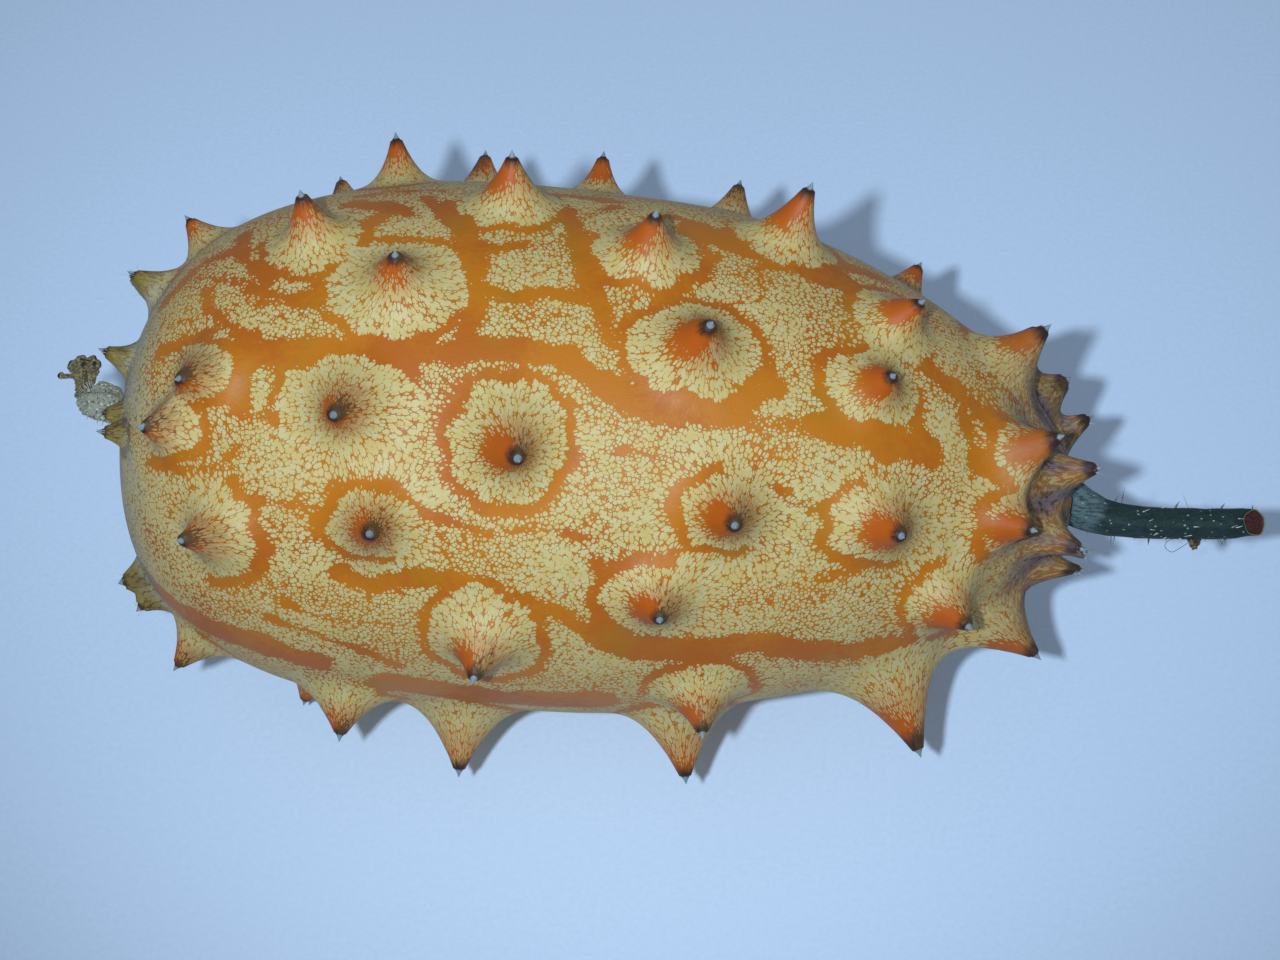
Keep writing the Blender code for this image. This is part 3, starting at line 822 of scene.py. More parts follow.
    def soot(self, points: np.ndarray) -> np.ndarray:
        """How dark the streaks are that run down a horn's stalk side.

        Args:
            points: places on the smooth body.

        Returns:
            The share of the dark streaks at each place.
        """
        draw = random.Random(self.seed)
        sooty = np.zeros(len(points))
        for horn in self.horns:
            side, _ = self.blush_and_lit_flank(horn, draw)
            middle = self.body.points(horn.station, horn.turn)
            near = np.flatnonzero(((points - middle) ** 2).sum(1) < self.soot_reach ** 2)
            _, gap, angle = self.disc_distance(horn, points, near)
            facing = (0.5 - 0.5 * np.cos(angle - side + self.soot_turn)) ** self.soot_power
            share = np.clip(1.0 - gap / self.soot_reach, 0.0, 1.0) * facing
            sooty[near] = np.maximum(sooty[near], share)
        return sooty

    def blush_and_lit_flank(self, horn: Horn, draw: random.Random) -> tuple[float, float]:
        """The side on which a horn's orange reaches furthest down; past the flower's part, on the front
        horns, this is painted light on the flank the key light strikes.

        Args:
            horn: the horn.
            draw: seeded draws for the hidden side.

        Returns:
            The side as an angle, and how much further the orange reaches there.
        """
        side, reach = draw.uniform(-math.pi, math.pi), draw.uniform(*self.back_blush)
        if not self.calm_front[0] < horn.turn < self.calm_front[1]:
            return side, reach
        return self.front_side, self.lit_flank_reach if horn.station > self.flower_part else self.flower_blush


# ---------------------------------------------------------------- working on pieces
def only(piece: bpy.types.Object) -> None:
    """Select a piece alone and make it the active one.

    Args:
        piece: the piece.
    """
    bpy.ops.object.select_all(action="DESELECT")
    piece.select_set(True)
    bpy.context.view_layer.objects.active = piece


def outward_normals(piece: bpy.types.Object) -> None:
    """Turn every face of a closed piece outwards.

    Args:
        piece: the piece.
    """
    only(piece)
    bpy.ops.object.mode_set(mode="EDIT")
    bpy.ops.mesh.select_all(action="SELECT")
    bpy.ops.mesh.normals_make_consistent(inside=False)
    bpy.ops.object.mode_set(mode="OBJECT")


def mark(mesh: bpy.types.Mesh, name: str, values: np.ndarray) -> None:
    """Store a value or a vector for each point of a mesh.

    Args:
        mesh: the mesh.
        name: what the finish calls the mark.
        values: a number or a row of three for each point.
    """
    kind, key = ("FLOAT_VECTOR", "vector") if values.ndim == 2 else ("FLOAT", "value")
    marked = mesh.attributes.new(name, kind, "POINT")
    marked.data.foreach_set(key, np.ascontiguousarray(values, np.float32).ravel())


def corners(mesh: bpy.types.Mesh) -> np.ndarray:
    """The mesh's points, a row each.

    Args:
        mesh: the mesh.

    Returns:
        X, Y and Z of each point.
    """
    flat = np.empty(len(mesh.vertices) * 3, np.float32)
    mesh.vertices.foreach_get("co", flat)
    return flat.reshape(-1, 3).astype(float)


def move_corners(mesh: bpy.types.Mesh, places: np.ndarray) -> None:
    """Put the mesh's points at places given in millimetres."""
    mesh.vertices.foreach_set("co", np.ascontiguousarray(places * MM, np.float32).ravel())


def joined(pieces: list[bpy.types.Object], name: str) -> bpy.types.Object:
    """Join pieces into one, with its origin and its turn at nought.

    Args:
        pieces: the pieces, which become one.
        name: the joined piece's name.

    Returns:
        The joined piece.
    """
    only(pieces[0])
    for piece in pieces:
        piece.select_set(True)
    if len(pieces) > 1:
        bpy.ops.object.join()
    bpy.ops.object.transform_apply(location=True, rotation=True, scale=True)
    pieces[0].name = name
    return pieces[0]


def smooth_line(rows: tuple[tuple[float, ...], ...], steps: int) -> np.ndarray:
    """Rows of place and radius along a smooth line through the given rows.

    Args:
        rows: places and radii that the line passes through.
        steps: how many rows are read from it.

    Returns:
        The rows, evenly spread over the given ones.
    """
    rows = np.array(rows, float)
    ends = np.vstack([2 * rows[0] - rows[1], rows, 2 * rows[-1] - rows[-2]])
    result = []
    for at in np.linspace(0.0, len(rows) - 1.0, steps):
        k = min(int(at), len(rows) - 2)
        t = at - k
        a, b, c, d = ends[k:k + 4]
        bend = 2 * b + (c - a) * t + (2 * a - 5 * b + 4 * c - d) * t ** 2
        result.append((bend + (3 * b - a - 3 * c + d) * t ** 3) / 2.0)
    return np.array(result)


def rolled(name: str, rings: np.ndarray, marks: dict[str, np.ndarray] | None = None) -> bpy.types.Object:
    """Roll a grid into a closed tube.

    Args:
        name: the piece's name.
        rings: places in millimetres, by ring and side.
        marks: values to store for each ring and side.

    Returns:
        The closed piece, its faces turned outwards.
    """
    count, sides = rings.shape[:2]
    bpy.ops.object.select_all(action="DESELECT")
    bpy.ops.mesh.primitive_grid_add(x_subdivisions=count - 1, y_subdivisions=sides, size=1.0)
    piece = bpy.context.active_object
    piece.name = name
    mesh = piece.data
    flat = corners(mesh)
    ring = np.rint((flat[:, 0] + 0.5) * (count - 1)).astype(int)
    side = np.rint((flat[:, 1] + 0.5) * sides).astype(int) % sides
    move_corners(mesh, rings[ring, side])
    for key, values in (marks or {}).items():
        mark(mesh, key, values[ring, side])
    bpy.ops.object.mode_set(mode="EDIT")
    bpy.ops.mesh.select_all(action="SELECT")
    bpy.ops.mesh.remove_doubles(threshold=1e-7)
    bpy.ops.mesh.fill_holes(sides=0)
    bpy.ops.mesh.normals_make_consistent(inside=False)
    bpy.ops.object.mode_set(mode="OBJECT")
    mesh.shade_smooth()
    return piece


@dataclass
class Tube:
    """A tube of uneven rings along a smooth line.

    Its first rings may be square to a start direction, up to square_reach along it, and its
    last rings may be turned by end_turn, from end_reach before the end on.
    """

    rows: np.ndarray
    sides: int
    start: Vector | None = None
    square_reach: float = 4.0
    end_turn: Matrix | None = None
    end_reach: float = 3.0

    def turns(self) -> list[Matrix]:
        """How each ring is turned.

        Returns:
            A rotation for each ring.
        """
        places = [Vector(row[:3]) for row in self.rows]
        turns = []
        for ring, place in enumerate(places):
            ahead = places[min(ring + 1, len(places) - 1)] - places[max(ring - 1, 0)]
            ahead.normalize()
            if self.start is not None:
                share = min(1.0, (place - places[0]).length / self.square_reach)
                ahead = self.start.lerp(ahead, share)
            turn = ahead.to_track_quat("X", "Z").to_matrix()
            if self.end_turn is not None:
                share = max(0.0, 1.0 - (place - places[-1]).length / self.end_reach)
                turn = Quaternion().slerp(self.end_turn.to_quaternion(), share).to_matrix() @ turn
            turns.append(turn)
        return turns

    def rings(self, scale: np.ndarray) -> np.ndarray:
        """Places by ring and side; scale holds a share of the radius for each of them.

        Args:
            scale: share of the ring's radius, for each ring and side.

        Returns:
            X, Y and Z for each ring and side, in millimetres.
        """
        angle = round_angles(self.sides)
        spokes = np.stack([np.zeros(self.sides), np.cos(angle), np.sin(angle)])
        turned = np.array([(np.array(turn) @ spokes).T for turn in self.turns()])
        return self.rows[:, None, :3] + turned * (self.rows[:, 3:4] * scale)[:, :, None]


@dataclass(frozen=True)
class Hair:
    """One hair: where it stands, where it points, its length and its thickness."""

    root: Vector
    ahead: Vector
    length: float
    radius: float
    roll: float = 0.0


@dataclass(frozen=True)
class HairFinish:
    """Dry hairs, darker in places."""

    name: str
    colour: Colour
    dark: Colour
    dark_from: float = 0.55
    dark_width: float = 0.12

    def material(self) -> bpy.types.Material:
        """Build the hairs' material.

        Returns:
            The finished material.
        """
        shade = Shade(self.name, roughness=0.45, specular_ior_level=0.4)
        spots = shade.noise(shade.position(), 1.9, 1.0)
        share = shade.step(spots, self.dark_from, self.dark_from + self.dark_width)
        return shade.finish(base_color=shade.mix(share, self.colour, self.dark))


@dataclass
class HairCoat:
    """A coat of hairs: a few bent shapes are modelled once, and every hair is a copy of one."""

    name: str
    shift: np.ndarray
    bends: tuple[float, ...] = (0.0, 0.22, 0.5)
    sides: int = 5
    steps: int = 6

    def shape(self, bend: float) -> bpy.types.Object:
        """A hair 1 long and 1 thick, bent towards +X.

        Args:
            bend: how far the tip stands aside, in thicknesses.

        Returns:
            The hair, to be copied.
        """
        share = np.linspace(0.0, 1.0, self.steps)
        rows = np.stack([bend * share ** 2, 0.0 * share, share, 1.0 - 0.85 * share ** 1.5], -1)
        angle = round_angles(self.sides)
        spokes = np.stack([np.cos(angle), np.sin(angle), 0.0 * angle], -1)
        rings = rows[:, None, :3] + spokes[None] * rows[:, 3][:, None, None]
        return rolled("hair", rings / MM)

    def build(self, hairs: list[Hair], finish: HairFinish) -> bpy.types.Object:
        """Copy the shapes onto their places and join them.

        Args:
            hairs: the hairs, in the fruit's own millimetres.
            finish: their looks.

        Returns:
            The joined coat.
        """
        shapes = {}
        copies = []
        for index, hair in enumerate(hairs):
            thick = hair.radius / hair.length
            key = (self.bends[index % len(self.bends)], round(thick, 2))
            if key not in shapes:
                shapes[key] = self.shape(key[0] / max(key[1], 0.01))
            copy = shapes[key].copy()
            copy.data = shapes[key].data.copy()
            bpy.context.collection.objects.link(copy)
            turn = hair.ahead.to_track_quat("Z", "X") @ Quaternion((0.0, 0.0, 1.0), hair.roll)
            size = Vector((hair.radius, hair.radius, hair.length)) * MM
            copy.matrix_world = Matrix.LocRotScale((hair.root + Vector(self.shift)) * MM, turn, size)
            copies.append(copy)
        for shape in shapes.values():
            bpy.data.objects.remove(shape, do_unlink=True)
        coat = joined(copies, self.name)
        coat.data.materials.clear()
        coat.data.materials.append(finish.material())
        return coat


# ---------------------------------------------------------------- the rind
@dataclass(frozen=True)
class RindFinish:
    """Waxy skin: cream grains over orange, horns with dark collars and glassy points; painted sheen at the
    flower's end.
    """

    orange: Colour = (0.48, 0.142, 0.002)
    orange_deep: Colour = (0.42, 0.098, 0.002)
    olive: Colour = (0.37, 0.150, 0.002)
    cream: Colour = (0.55, 0.380, 0.115)
    cream_pale: Colour = (0.555, 0.435, 0.185)
    cone: Colour = (0.44, 0.080, 0.002)
    collar: Colour = (0.040, 0.014, 0.006)
    soot: Colour = (0.085, 0.045, 0.014)
    glass: Colour = (0.22, 0.26, 0.27)
    ochre: Colour = (0.22, 0.140, 0.018)
    umber: Colour = (0.300, 0.105, 0.010)
    straw: Colour = (0.48, 0.33, 0.115)
    lilac: Colour = (0.135, 0.100, 0.108)
    crease: Colour = (0.022, 0.015, 0.016)
    # grey: painted sheen, the bluish light reflected at the flower's end
    grey: Colour = (0.33, 0.29, 0.27)
    grain_scale: float = 2.1
    gap: float = 0.12
    roughness: float = 0.50

    def material(self) -> bpy.types.Material:
        """Build the skin's material.

        Returns:
            The finished material.
        """
        shade = Shade("rind_skin", specular_ior_level=0.27)
        grain, skin = shade.place("grain"), shade.place("skin")
        horn, ends = shade.attribute("horn"), shade.attribute("ends")
        fine = shade.noise(shade.move("MULTIPLY", grain, (0.8, 1.0, 1.0)), 1.5, 3.0, 0.6)
        withered = shade.step(shade.attribute("withered_and_sheen"), 0.05, 0.35)
        cream = self.grains(shade, grain, fine)
        colour = self.ground(shade, cream, fine, withered)
        colour = self.on_horns(shade, colour, cream, withered)
        lines = shade.noise(skin, 1.6, 4.0, 0.7)
        colour = shade.mix(ends, colour, shade.mix(shade.step(lines, 0.52, 0.40), self.lilac, self.crease))
        # Painted sheen: grey over the flower's end, away from the horns, stands in for the bluish light
        # reflected by the waxy skin.
        painted_sheen = shade.step(shade.noise(skin, 1.1, 3.0), 0.36, 0.60) * 0.7 + 0.3
        painted_sheen = shade.attribute("withered_and_sheen") * painted_sheen * shade.step(horn, 1.5, 4.0)
        colour = shade.mix(painted_sheen, colour, self.grey)
        point = shade.step(horn, 0.48, 0.36)
        colour = shade.mix(point, colour, self.glass)
        rough = (fine - 0.5) * 0.18 + cream * 0.08 + self.roughness
        rough = rough - point * 0.25 + ends * 0.15
        relief = cream * 0.45 + shade.noise(grain, 3.5, 3.0) * 0.35 + shade.noise(skin, 9.0, 2.0) * 0.2
        return shade.finish(relief, 0.09, base_color=colour, roughness=rough)

    def grains(self, shade: Shade, grain: Wire, fine: Wire) -> Wire:
        """Where the cream is: rounded grains that grow together where they stand densely.

        Args:
            shade: the skin's material.
            grain: places on which the grain is laid.
            fine: fine noise.

        Returns:
            The share of cream.
        """
        cells = shade.cells(grain, self.grain_scale)
        edges = shade.cells(grain, self.grain_scale, "DISTANCE_TO_EDGE")
        gaps = shade.math("MINIMUM", (edges - self.gap) * 3.5, 0.15)
        level = shade.attribute("creaminess") + (0.50 - cells) * 1.6 + gaps + (fine - 0.5) * 1.5
        return shade.step(level, -0.10, 0.16)

    def ground(self, shade: Shade, cream: Wire, fine: Wire, withered: Wire) -> Wire:
        """The skin's colour away from the horns: orange in three tones, under the cream.

        Args:
            shade: the skin's material.
            cream: the share of cream.
            fine: fine noise.
            withered: the share of the dull end by the flower.

        Returns:
            The colour.
        """
        skin = shade.place("skin")
        deep = shade.step(shade.noise(skin, 0.09, 2.0) + (fine - 0.5) * 0.3, 0.42, 0.66)
        orange = shade.mix(deep, self.orange, self.orange_deep)
        orange = shade.mix(shade.step(shade.noise(skin, 0.13, 1.0), 0.56, 0.75) * 0.5, orange, self.olive)
        orange = shade.mix(withered, orange, self.ochre)
        pale = shade.step(shade.noise(shade.place("grain"), 0.8, 3.0, 0.6), 0.35, 0.7)
        return shade.mix(cream, orange, shade.mix(pale, self.cream, self.cream_pale))

    def on_horns(self, shade: Shade, colour: Wire, cream: Wire, withered: Wire) -> Wire:
        """The horns' bare cones, dark collars and dark streaks over the skin's colour.

        Args:
            shade: the skin's material.
            colour: the skin's colour away from the horns.
            cream: the share of cream.
            withered: the share of the dull end by the flower.

        Returns:
            The colour with the horns.
        """
        grain, horn, crown = shade.place("grain"), shade.attribute("horn"), shade.attribute("crown")
        dots, streak = shade.noise(grain, 2.6, 2.0), (shade.noise(grain, 1.6, 2.0) - 0.5) * 1.6
        crowned = shade.mix(shade.step(dots, 0.48, 0.57), self.umber, self.straw)
        colour = shade.mix(crown * 0.85, colour, crowned)
        cone = shade.mix(withered, shade.mix(crown, self.cone, self.umber), self.ochre)
        bare = ((1.0 - cream) * 0.55 + 0.4) * (1.0 - crown * 0.7) + withered * 0.4
        colour = shade.mix(shade.step(horn + streak, 4.2, 2.0) * bare, colour, cone)
        colour = shade.mix(shade.step(horn + streak * 0.35 - crown * 0.6, 1.35, 0.70), colour, self.collar)
        smoke = shade.step(shade.attribute("soot") + (dots - 0.5) * 0.9, 0.22, 0.62)
        return shade.mix(smoke * ((1.0 - cream) * 0.5 + 0.4), colour, self.soot)


@dataclass
class Rind:
    """The body with all its horns as one fine skin."""

    body: Body
    horns: list[Horn]
    pull: float = 1.35
    shoulder: float = 0.75
    foot_shoulder: float = 1.3
    bristle_radius: float = 0.45
    bristle_length: float = 1.1
    dome: float = 0.15
    lean_power: float = 1.3
    horn_reach: float = 1.3
    seat: tuple[float, float] = (-1.1, -0.5)
    seat_radius: float = 3.6
    seat_blend: float = 2.0
    scar: tuple[float, float] = (0.07, -42.0)
    scar_height: float = 1.5
    scar_spread: float = 5.0
    ring_radii: tuple[float, ...] = (
        0.11, 0.22, 0.33, 0.45, 0.56, 0.66, 0.75, 0.88, 1.05, 1.25, 1.5, 1.8, 2.15, 2.5, 2.9,
        3.3, 3.75, 4.2, 4.7, 5.2, 5.75, 6.3, 6.9, 7.5, 8.1, 8.7, 9.3, 9.9,
    )
    spacing: float = 0.62
    point_spacing: float = 0.16
    spacing_growth: float = 0.2
    ring_corners: int = 8
    skin_points: int = 46000
    grain_pull: float = 0.84
    crease_stations: tuple[float, float] = (101.0, 114.0)
    crease_depth: float = 0.28
    crease_count: float = 17.0
    crease_tint: float = 0.92
    crown_stations: tuple[float, float] = (104.0, 112.0)
    # where the flower's end is withered and painted with a grey sheen, and how patchy that is
    withered_and_sheen_stations: tuple[float, float] = (8.0, 2.5)
    withered_and_sheen_share: float = 0.62
    withered_and_sheen_patches: float = 0.5
    withered_and_sheen_most: float = 0.85
    ridge_depth: float = 0.05
    ridge_count: int = 13
    furthest: float = 9.0
    shift: np.ndarray = field(default_factory=lambda: np.zeros(3))

    def profile(self, radius: np.ndarray, horn: Horn) -> np.ndarray:
        """Height of a horn above the body at distances from its middle.

        Args:
            radius: distances from the horn's middle.
            horn: the horn.

        Returns:
            The heights, in millimetres.
        """
        shoulder = self.foot_shoulder if horn.foot else self.shoulder
        point = 0.0 if horn.foot else self.bristle_length
        flank = np.clip((radius - shoulder) / (horn.spread - shoulder), 0.0, 1.0)
        height = (horn.height - point) * (1.0 - flank) ** horn.flare
        if not horn.foot:
            height = height + self.dome * np.clip(1.0 - (radius / shoulder) ** 2, 0.0, 1.0)
            bristle = np.clip(1.0 - radius / self.bristle_radius, 0.0, 1.0)
            height = height + (point - self.dome) * bristle
        return height

    def ring_places(self, horn: Horn, walk: tuple[np.ndarray, ...]) -> np.ndarray:
        """Stations and turns of the points that a horn is drawn with.

        Args:
            horn: the horn.
            walk: the body's meridian.

        Returns:
            Stations and turns, denser towards the point.
        """
        stations, lengths, _, _ = walk
        radii = [radius for radius in self.ring_radii if radius < horn.spread - 0.3] + [horn.spread]
        rows = [np.array([[horn.station, horn.turn]])]
        middle = float(np.interp(horn.station, stations, lengths))
        for index, radius in enumerate(radii):
            reach = horn.spread * (radius / horn.spread) ** (1.0 / self.pull)
            gap = min(self.spacing, self.point_spacing + self.spacing_growth * radius)
            count = max(self.ring_corners, round(2.0 * math.pi * radius / gap))
            angle = 2.0 * math.pi * (np.arange(count) + 0.5 * (index % 2)) / count
            station = np.interp(np.maximum(middle + reach * np.cos(angle), 0.2), lengths, stations)
            thick = self.body.thickness(0.5 * (station + horn.station))
            rows.append(np.stack([station, horn.turn + np.degrees(reach * np.sin(angle) / thick)], -1))
        return np.concatenate(rows)

    def places(self, walk: tuple[np.ndarray, ...]) -> np.ndarray:
        """Station and turn of every point of the rind, dense on the horns.

        Args:
            walk: the body's meridian.

        Returns:
            Stations and turns.
        """
        stations, _, areas, _ = walk
        share = (np.arange(self.skin_points) + 0.5) / self.skin_points
        golden = 180.0 * (3.0 - math.sqrt(5.0))
        spiral = np.stack([np.interp(share, areas, stations), golden * np.arange(self.skin_points)], -1)
        groups = [(None, spiral)] + [(horn, self.ring_places(horn, walk)) for horn in self.horns]
        kept = []
        for owner, places in groups:
            points = self.body.points(places[:, 0], places[:, 1])
            own = np.full(len(points), 1.03)
            if owner is not None:
                own = np.linalg.norm(points - self.body.points(owner.station, owner.turn), axis=1)
                own = own / owner.spread
            keep = np.ones(len(points), bool)
            for horn in self.horns:
                if horn is not owner:
                    away = np.linalg.norm(points - self.body.points(horn.station, horn.turn), axis=1)
                    keep &= away / horn.spread > own
            kept.append(places[keep])
        return np.concatenate(kept)

    def faces(self, places: np.ndarray, walk: tuple[np.ndarray, ...]) -> list[tuple[int, int, int]]:
        """Triangles over the places, joined on the flat map and closed at the stalk end.

        Args:
            places: stations and turns of the points.
            walk: the body's meridian.

        Returns:
            Three point numbers for each face; the last point is the pole.
        """
        stations, _, _, spread = walk
        reach = np.exp(np.interp(places[:, 0], stations, spread) - spread[-1] / 2.0)
        angle = np.radians(places[:, 1])
        flat = [Vector(pair) for pair in zip(reach * np.cos(angle), reach * np.sin(angle))]
        _, _, found, origins, _, _ = delaunay_2d_cdt(flat, [], [], 0, 0.0)
        faces = [tuple(origins[corner][0] for corner in face) for face in found]
        edges = {(face[k], face[(k + 1) % 3]) for face in faces for k in range(3)}
        pole = len(places)
        return faces + [(end, start, pole) for start, end in edges if (end, start) not in edges]

    def raised(self, smooth: np.ndarray) -> tuple[np.ndarray, ...]:
        """Move points of the smooth body out onto the horns.

        Args:
            smooth: places on the smooth body.

        Returns:
            The moved places, the places on which the grain is laid, and the distance of
            each place from the nearest horn's middle.
        """
        moved, grain = smooth.copy(), smooth.copy()
        nearest = np.full(len(smooth), self.furthest)
        seat = np.hypot(smooth[:, 1] - self.seat[0], smooth[:, 2] - self.seat[1])
        calm = np.clip((seat - self.seat_radius) / self.seat_blend, 0.0, 1.0)
        calm = np.where(smooth[:, 0] > 0.0, calm, 1.0)[:, None]
        for horn in self.horns:
            centre, normal, to_stalk, to_front = self.body.axes(horn.station, horn.turn)
            away = smooth - centre
            near = np.flatnonzero((away ** 2).sum(1) < (self.horn_reach * horn.spread) ** 2)
            away = away[near]
            rise = (away @ normal)[:, None]
            flat = away - rise * normal
            share = np.linalg.norm(flat, axis=1) / horn.spread
            near, rise, flat, share = (part[share < 1.0] for part in (near, rise, flat, share))
            drawn = (share ** (self.pull - 1.0))[:, None]
            radius = horn.spread * share ** self.pull
            height = self.profile(radius, horn)
            angle = np.arctan2(flat @ to_front, flat @ to_stalk)
            ridges = np.cos(self.ridge_count * angle + 5.0 * np.sin(2.0 * angle + horn.turn))
            flank = np.clip((radius - 1.0) / 1.5, 0.0, 1.0) * (1.0 - share) ** 0.5
            height = (height + self.ridge_depth * ridges * flank)[:, None]
            lean = horn.to_stalk * to_stalk + horn.to_front * to_front
            shift = (drawn - 1.0) * flat + (drawn ** 2 - 1.0) * rise * normal
            tilt = np.maximum(height / horn.height, 0.0) ** self.lean_power
            moved[near] += (shift + height * normal + lean * tilt) * calm[near]
            pressed = np.maximum(share, 0.02) ** (self.grain_pull - 1.0) - 1.0
            grain[near] += pressed[:, None] * flat
            tip = np.maximum(radius, 0.8) if horn.foot else radius
            tip = np.where(calm[near, 0] < 1.0, self.furthest, tip * USUAL_SPREAD / max(horn.spread, 6.0))
            nearest[near] = np.minimum(nearest[near], tip)
        return self.with_scar(smooth, moved), grain, nearest

    def with_scar(self, smooth: np.ndarray, moved: np.ndarray) -> np.ndarray:
        """Raise the low mound that the withered flower stands on.

        Args:
            smooth: places on the smooth body.
            moved: the same places after the horns are raised.

        Returns:
            The moved places with the mound.
        """
        centre, normal, _, _ = self.body.axes(*self.scar)
        share = np.linalg.norm(smooth - centre, axis=1) / self.scar_spread
        height = self.scar_height * np.clip(1.0 - share ** 2, 0.0, 1.0) ** 2
        return moved + height[:, None] * normal

    def creases(self, places: np.ndarray, smooth: np.ndarray) -> np.ndarray:
        """How deep the skin is creased round the stalk, from 0 to 1.

        Args:
            places: stations and turns.
            smooth: the same places on the smooth body.

        Returns:
            The share of the depth at each place.
        """
        near = ramp(places[:, 0], *self.crease_stations)
        angle = np.radians(places[:, 1])
        folds = np.cos(self.crease_count * angle + 2.5 * cloud(smooth, (9.0, 5.0, 5.0), 7.7))
        return near * (0.5 + 0.5 * folds)

    def build(self, marbling: Marbling) -> bpy.types.Object:
        """Build the skin, with the marks that its finish reads.

        Args:
            marbling: lays the cream over the orange.

        Returns:
            The rind, placed where the frame's own rind is.
        """
        walk = self.body.meridian()
        places = self.places(walk)
        faces = self.faces(places, walk)
        places = np.vstack([places, [self.body.length, 0.0]])
        smooth = self.body.points(places[:, 0], places[:, 1])
        smooth[:, 0] = np.minimum(smooth[:, 0], self.body.seat_x)
        points, grain, nearest = self.raised(smooth)
        crease = self.creases(places, smooth)
        inward = smooth * np.array([0.0, 1.0, 1.0])
        inward = inward / np.maximum(np.linalg.norm(inward, axis=1), 1e-6)[:, None]
        quiet = np.clip(nearest / 4.0, 0.0, 1.0) * (smooth[:, 0] < self.body.seat_x)
        points -= inward * (self.crease_depth * crease * quiet)[:, None]
        points[:, 2] = np.maximum(points[:, 2], -self.body.floor_drop)
        self.settle_shift(points)
        mesh = bpy.data.meshes.new("rind_skin")
        mesh.from_pydata(((points + self.shift) * MM).tolist(), [], faces)
        mesh.validate()
        mark(mesh, "grain", grain)
        mark(mesh, "skin", smooth)
        mark(mesh, "horn", nearest)
        mark(mesh, "creaminess", marbling.density(places, smooth))
        mark(mesh, "soot", marbling.soot(smooth))
        crown = ramp(places[:, 0], *self.crown_stations)
        mark(mesh, "crown", crown)
        mark(mesh, "ends", np.clip(crown * (0.15 + crease) * quiet, 0.0, self.crease_tint))
        # the withered flower's end, which the finish also paints with a grey sheen
        patches = self.withered_and_sheen_share + self.withered_and_sheen_patches * cloud(smooth, (3.0,) * 3, 9.1)
        withered_and_sheen = ramp(places[:, 0], *self.withered_and_sheen_stations) * np.clip(patches, 0.0, self.withered_and_sheen_most)
        mark(mesh, "withered_and_sheen", withered_and_sheen)
        mesh.shade_smooth()
        rind = bpy.data.objects.new("rind_skin", mesh)
        bpy.context.collection.objects.link(rind)
        outward_normals(rind)
        return rind

    def settle_shift(self, points: np.ndarray) -> None:
        """Find the way from the fruit's own middle to where the frame has it, in millimetres.

        Args:
            points: the rind's points.
        """
        box = np.array([list(corner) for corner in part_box("rind")]) / MM
        own = np.array([points.min(0), points.max(0)])
        self.shift = (box - own).mean(0)
        self.shift[2] = (box - own)[0][2]


# ---------------------------------------------------------------- the stalk
@dataclass(frozen=True)
class StalkFinish:
    """Dark blue-green, finely flecked, paler and greyer where it meets the fruit."""

    green: Colour = (0.010, 0.026, 0.018)
    blue: Colour = (0.013, 0.033, 0.031)
    dark: Colour = (0.006, 0.014, 0.012)
    fleck: Colour = (0.30, 0.36, 0.26)
    collar: Colour = (0.090, 0.135, 0.130)
    pit: Colour = (0.006, 0.005, 0.006)
    wood: Colour = (0.090, 0.018, 0.008)
    wood_dark: Colour = (0.030, 0.008, 0.006)
    rim: Colour = (0.24, 0.24, 0.12)

    def material(self) -> bpy.types.Material:
        """Build the stalk's material.

        Returns:
            The finished material.
        """
        shade = Shade("stalk_skin", specular_ior_level=0.35)
        place = shade.position()
        long = shade.move("MULTIPLY", place, (0.45, 1.0, 1.0))
        fine, broad = shade.noise(long, 3.2, 3.0), shade.noise(long, 0.9, 2.0)
        colour = shade.mix(shade.step(broad + (fine - 0.5) * 0.8, 0.38, 0.66), self.green, self.blue)
        colour = shade.mix(shade.step(fine, 0.50, 0.36) * 0.8, colour, self.dark)
        collar = shade.attribute("collar")
        furrow = shade.noise(shade.move("MULTIPLY", place, (0.5, 2.0, 2.0)), 1.5, 3.0)
        grey = shade.mix(shade.step(furrow, 0.50, 0.38) * 0.6, self.collar, self.dark)
        colour = shade.mix(shade.step(collar + (furrow - 0.5) * 0.5, 0.25, 0.65), colour, grey)
        flecks = shade.cells(shade.move("MULTIPLY", place, (0.75, 1.0, 1.0)), 1.35)
        colour = shade.mix(shade.step(flecks + (fine - 0.5) * 0.3, 0.17, 0.10) * 0.8, colour, self.fleck)
        colour = shade.mix(shade.attribute("pit"), colour, self.pit)
        grain = shade.noise(place, 3.4, 3.0, 0.6)
        wood = shade.mix(shade.step(grain, 0.40, 0.62), self.wood_dark, self.wood)
        cut = shade.attribute("cut")
        colour = shade.mix(shade.step(cut, 0.30, 0.50) - shade.step(cut, 0.50, 0.72), colour, self.rim)
        colour = shade.mix(shade.step(cut, 0.50, 0.72), colour, wood)
        rough = fine * 0.2 + 0.45
        return shade.finish(fine * 0.6 + grain * 0.4, 0.16, base_color=colour, roughness=rough)


@dataclass(frozen=True)
class ScabFinish:
    """Dry brown bark with an olive middle."""

    brown: Colour = (0.030, 0.016, 0.012)
    olive: Colour = (0.150, 0.120, 0.038)

    def material(self) -> bpy.types.Material:
        """Build the scab's material.

        Returns:
            The finished material.
        """
        shade = Shade("scab", roughness=0.75)
        spots = shade.noise(shade.position(), 1.3, 4.0, 0.65)
        colour = shade.mix(shade.step(spots, 0.46, 0.60), self.brown, self.olive)
        return shade.finish(spots, 0.2, base_color=colour)


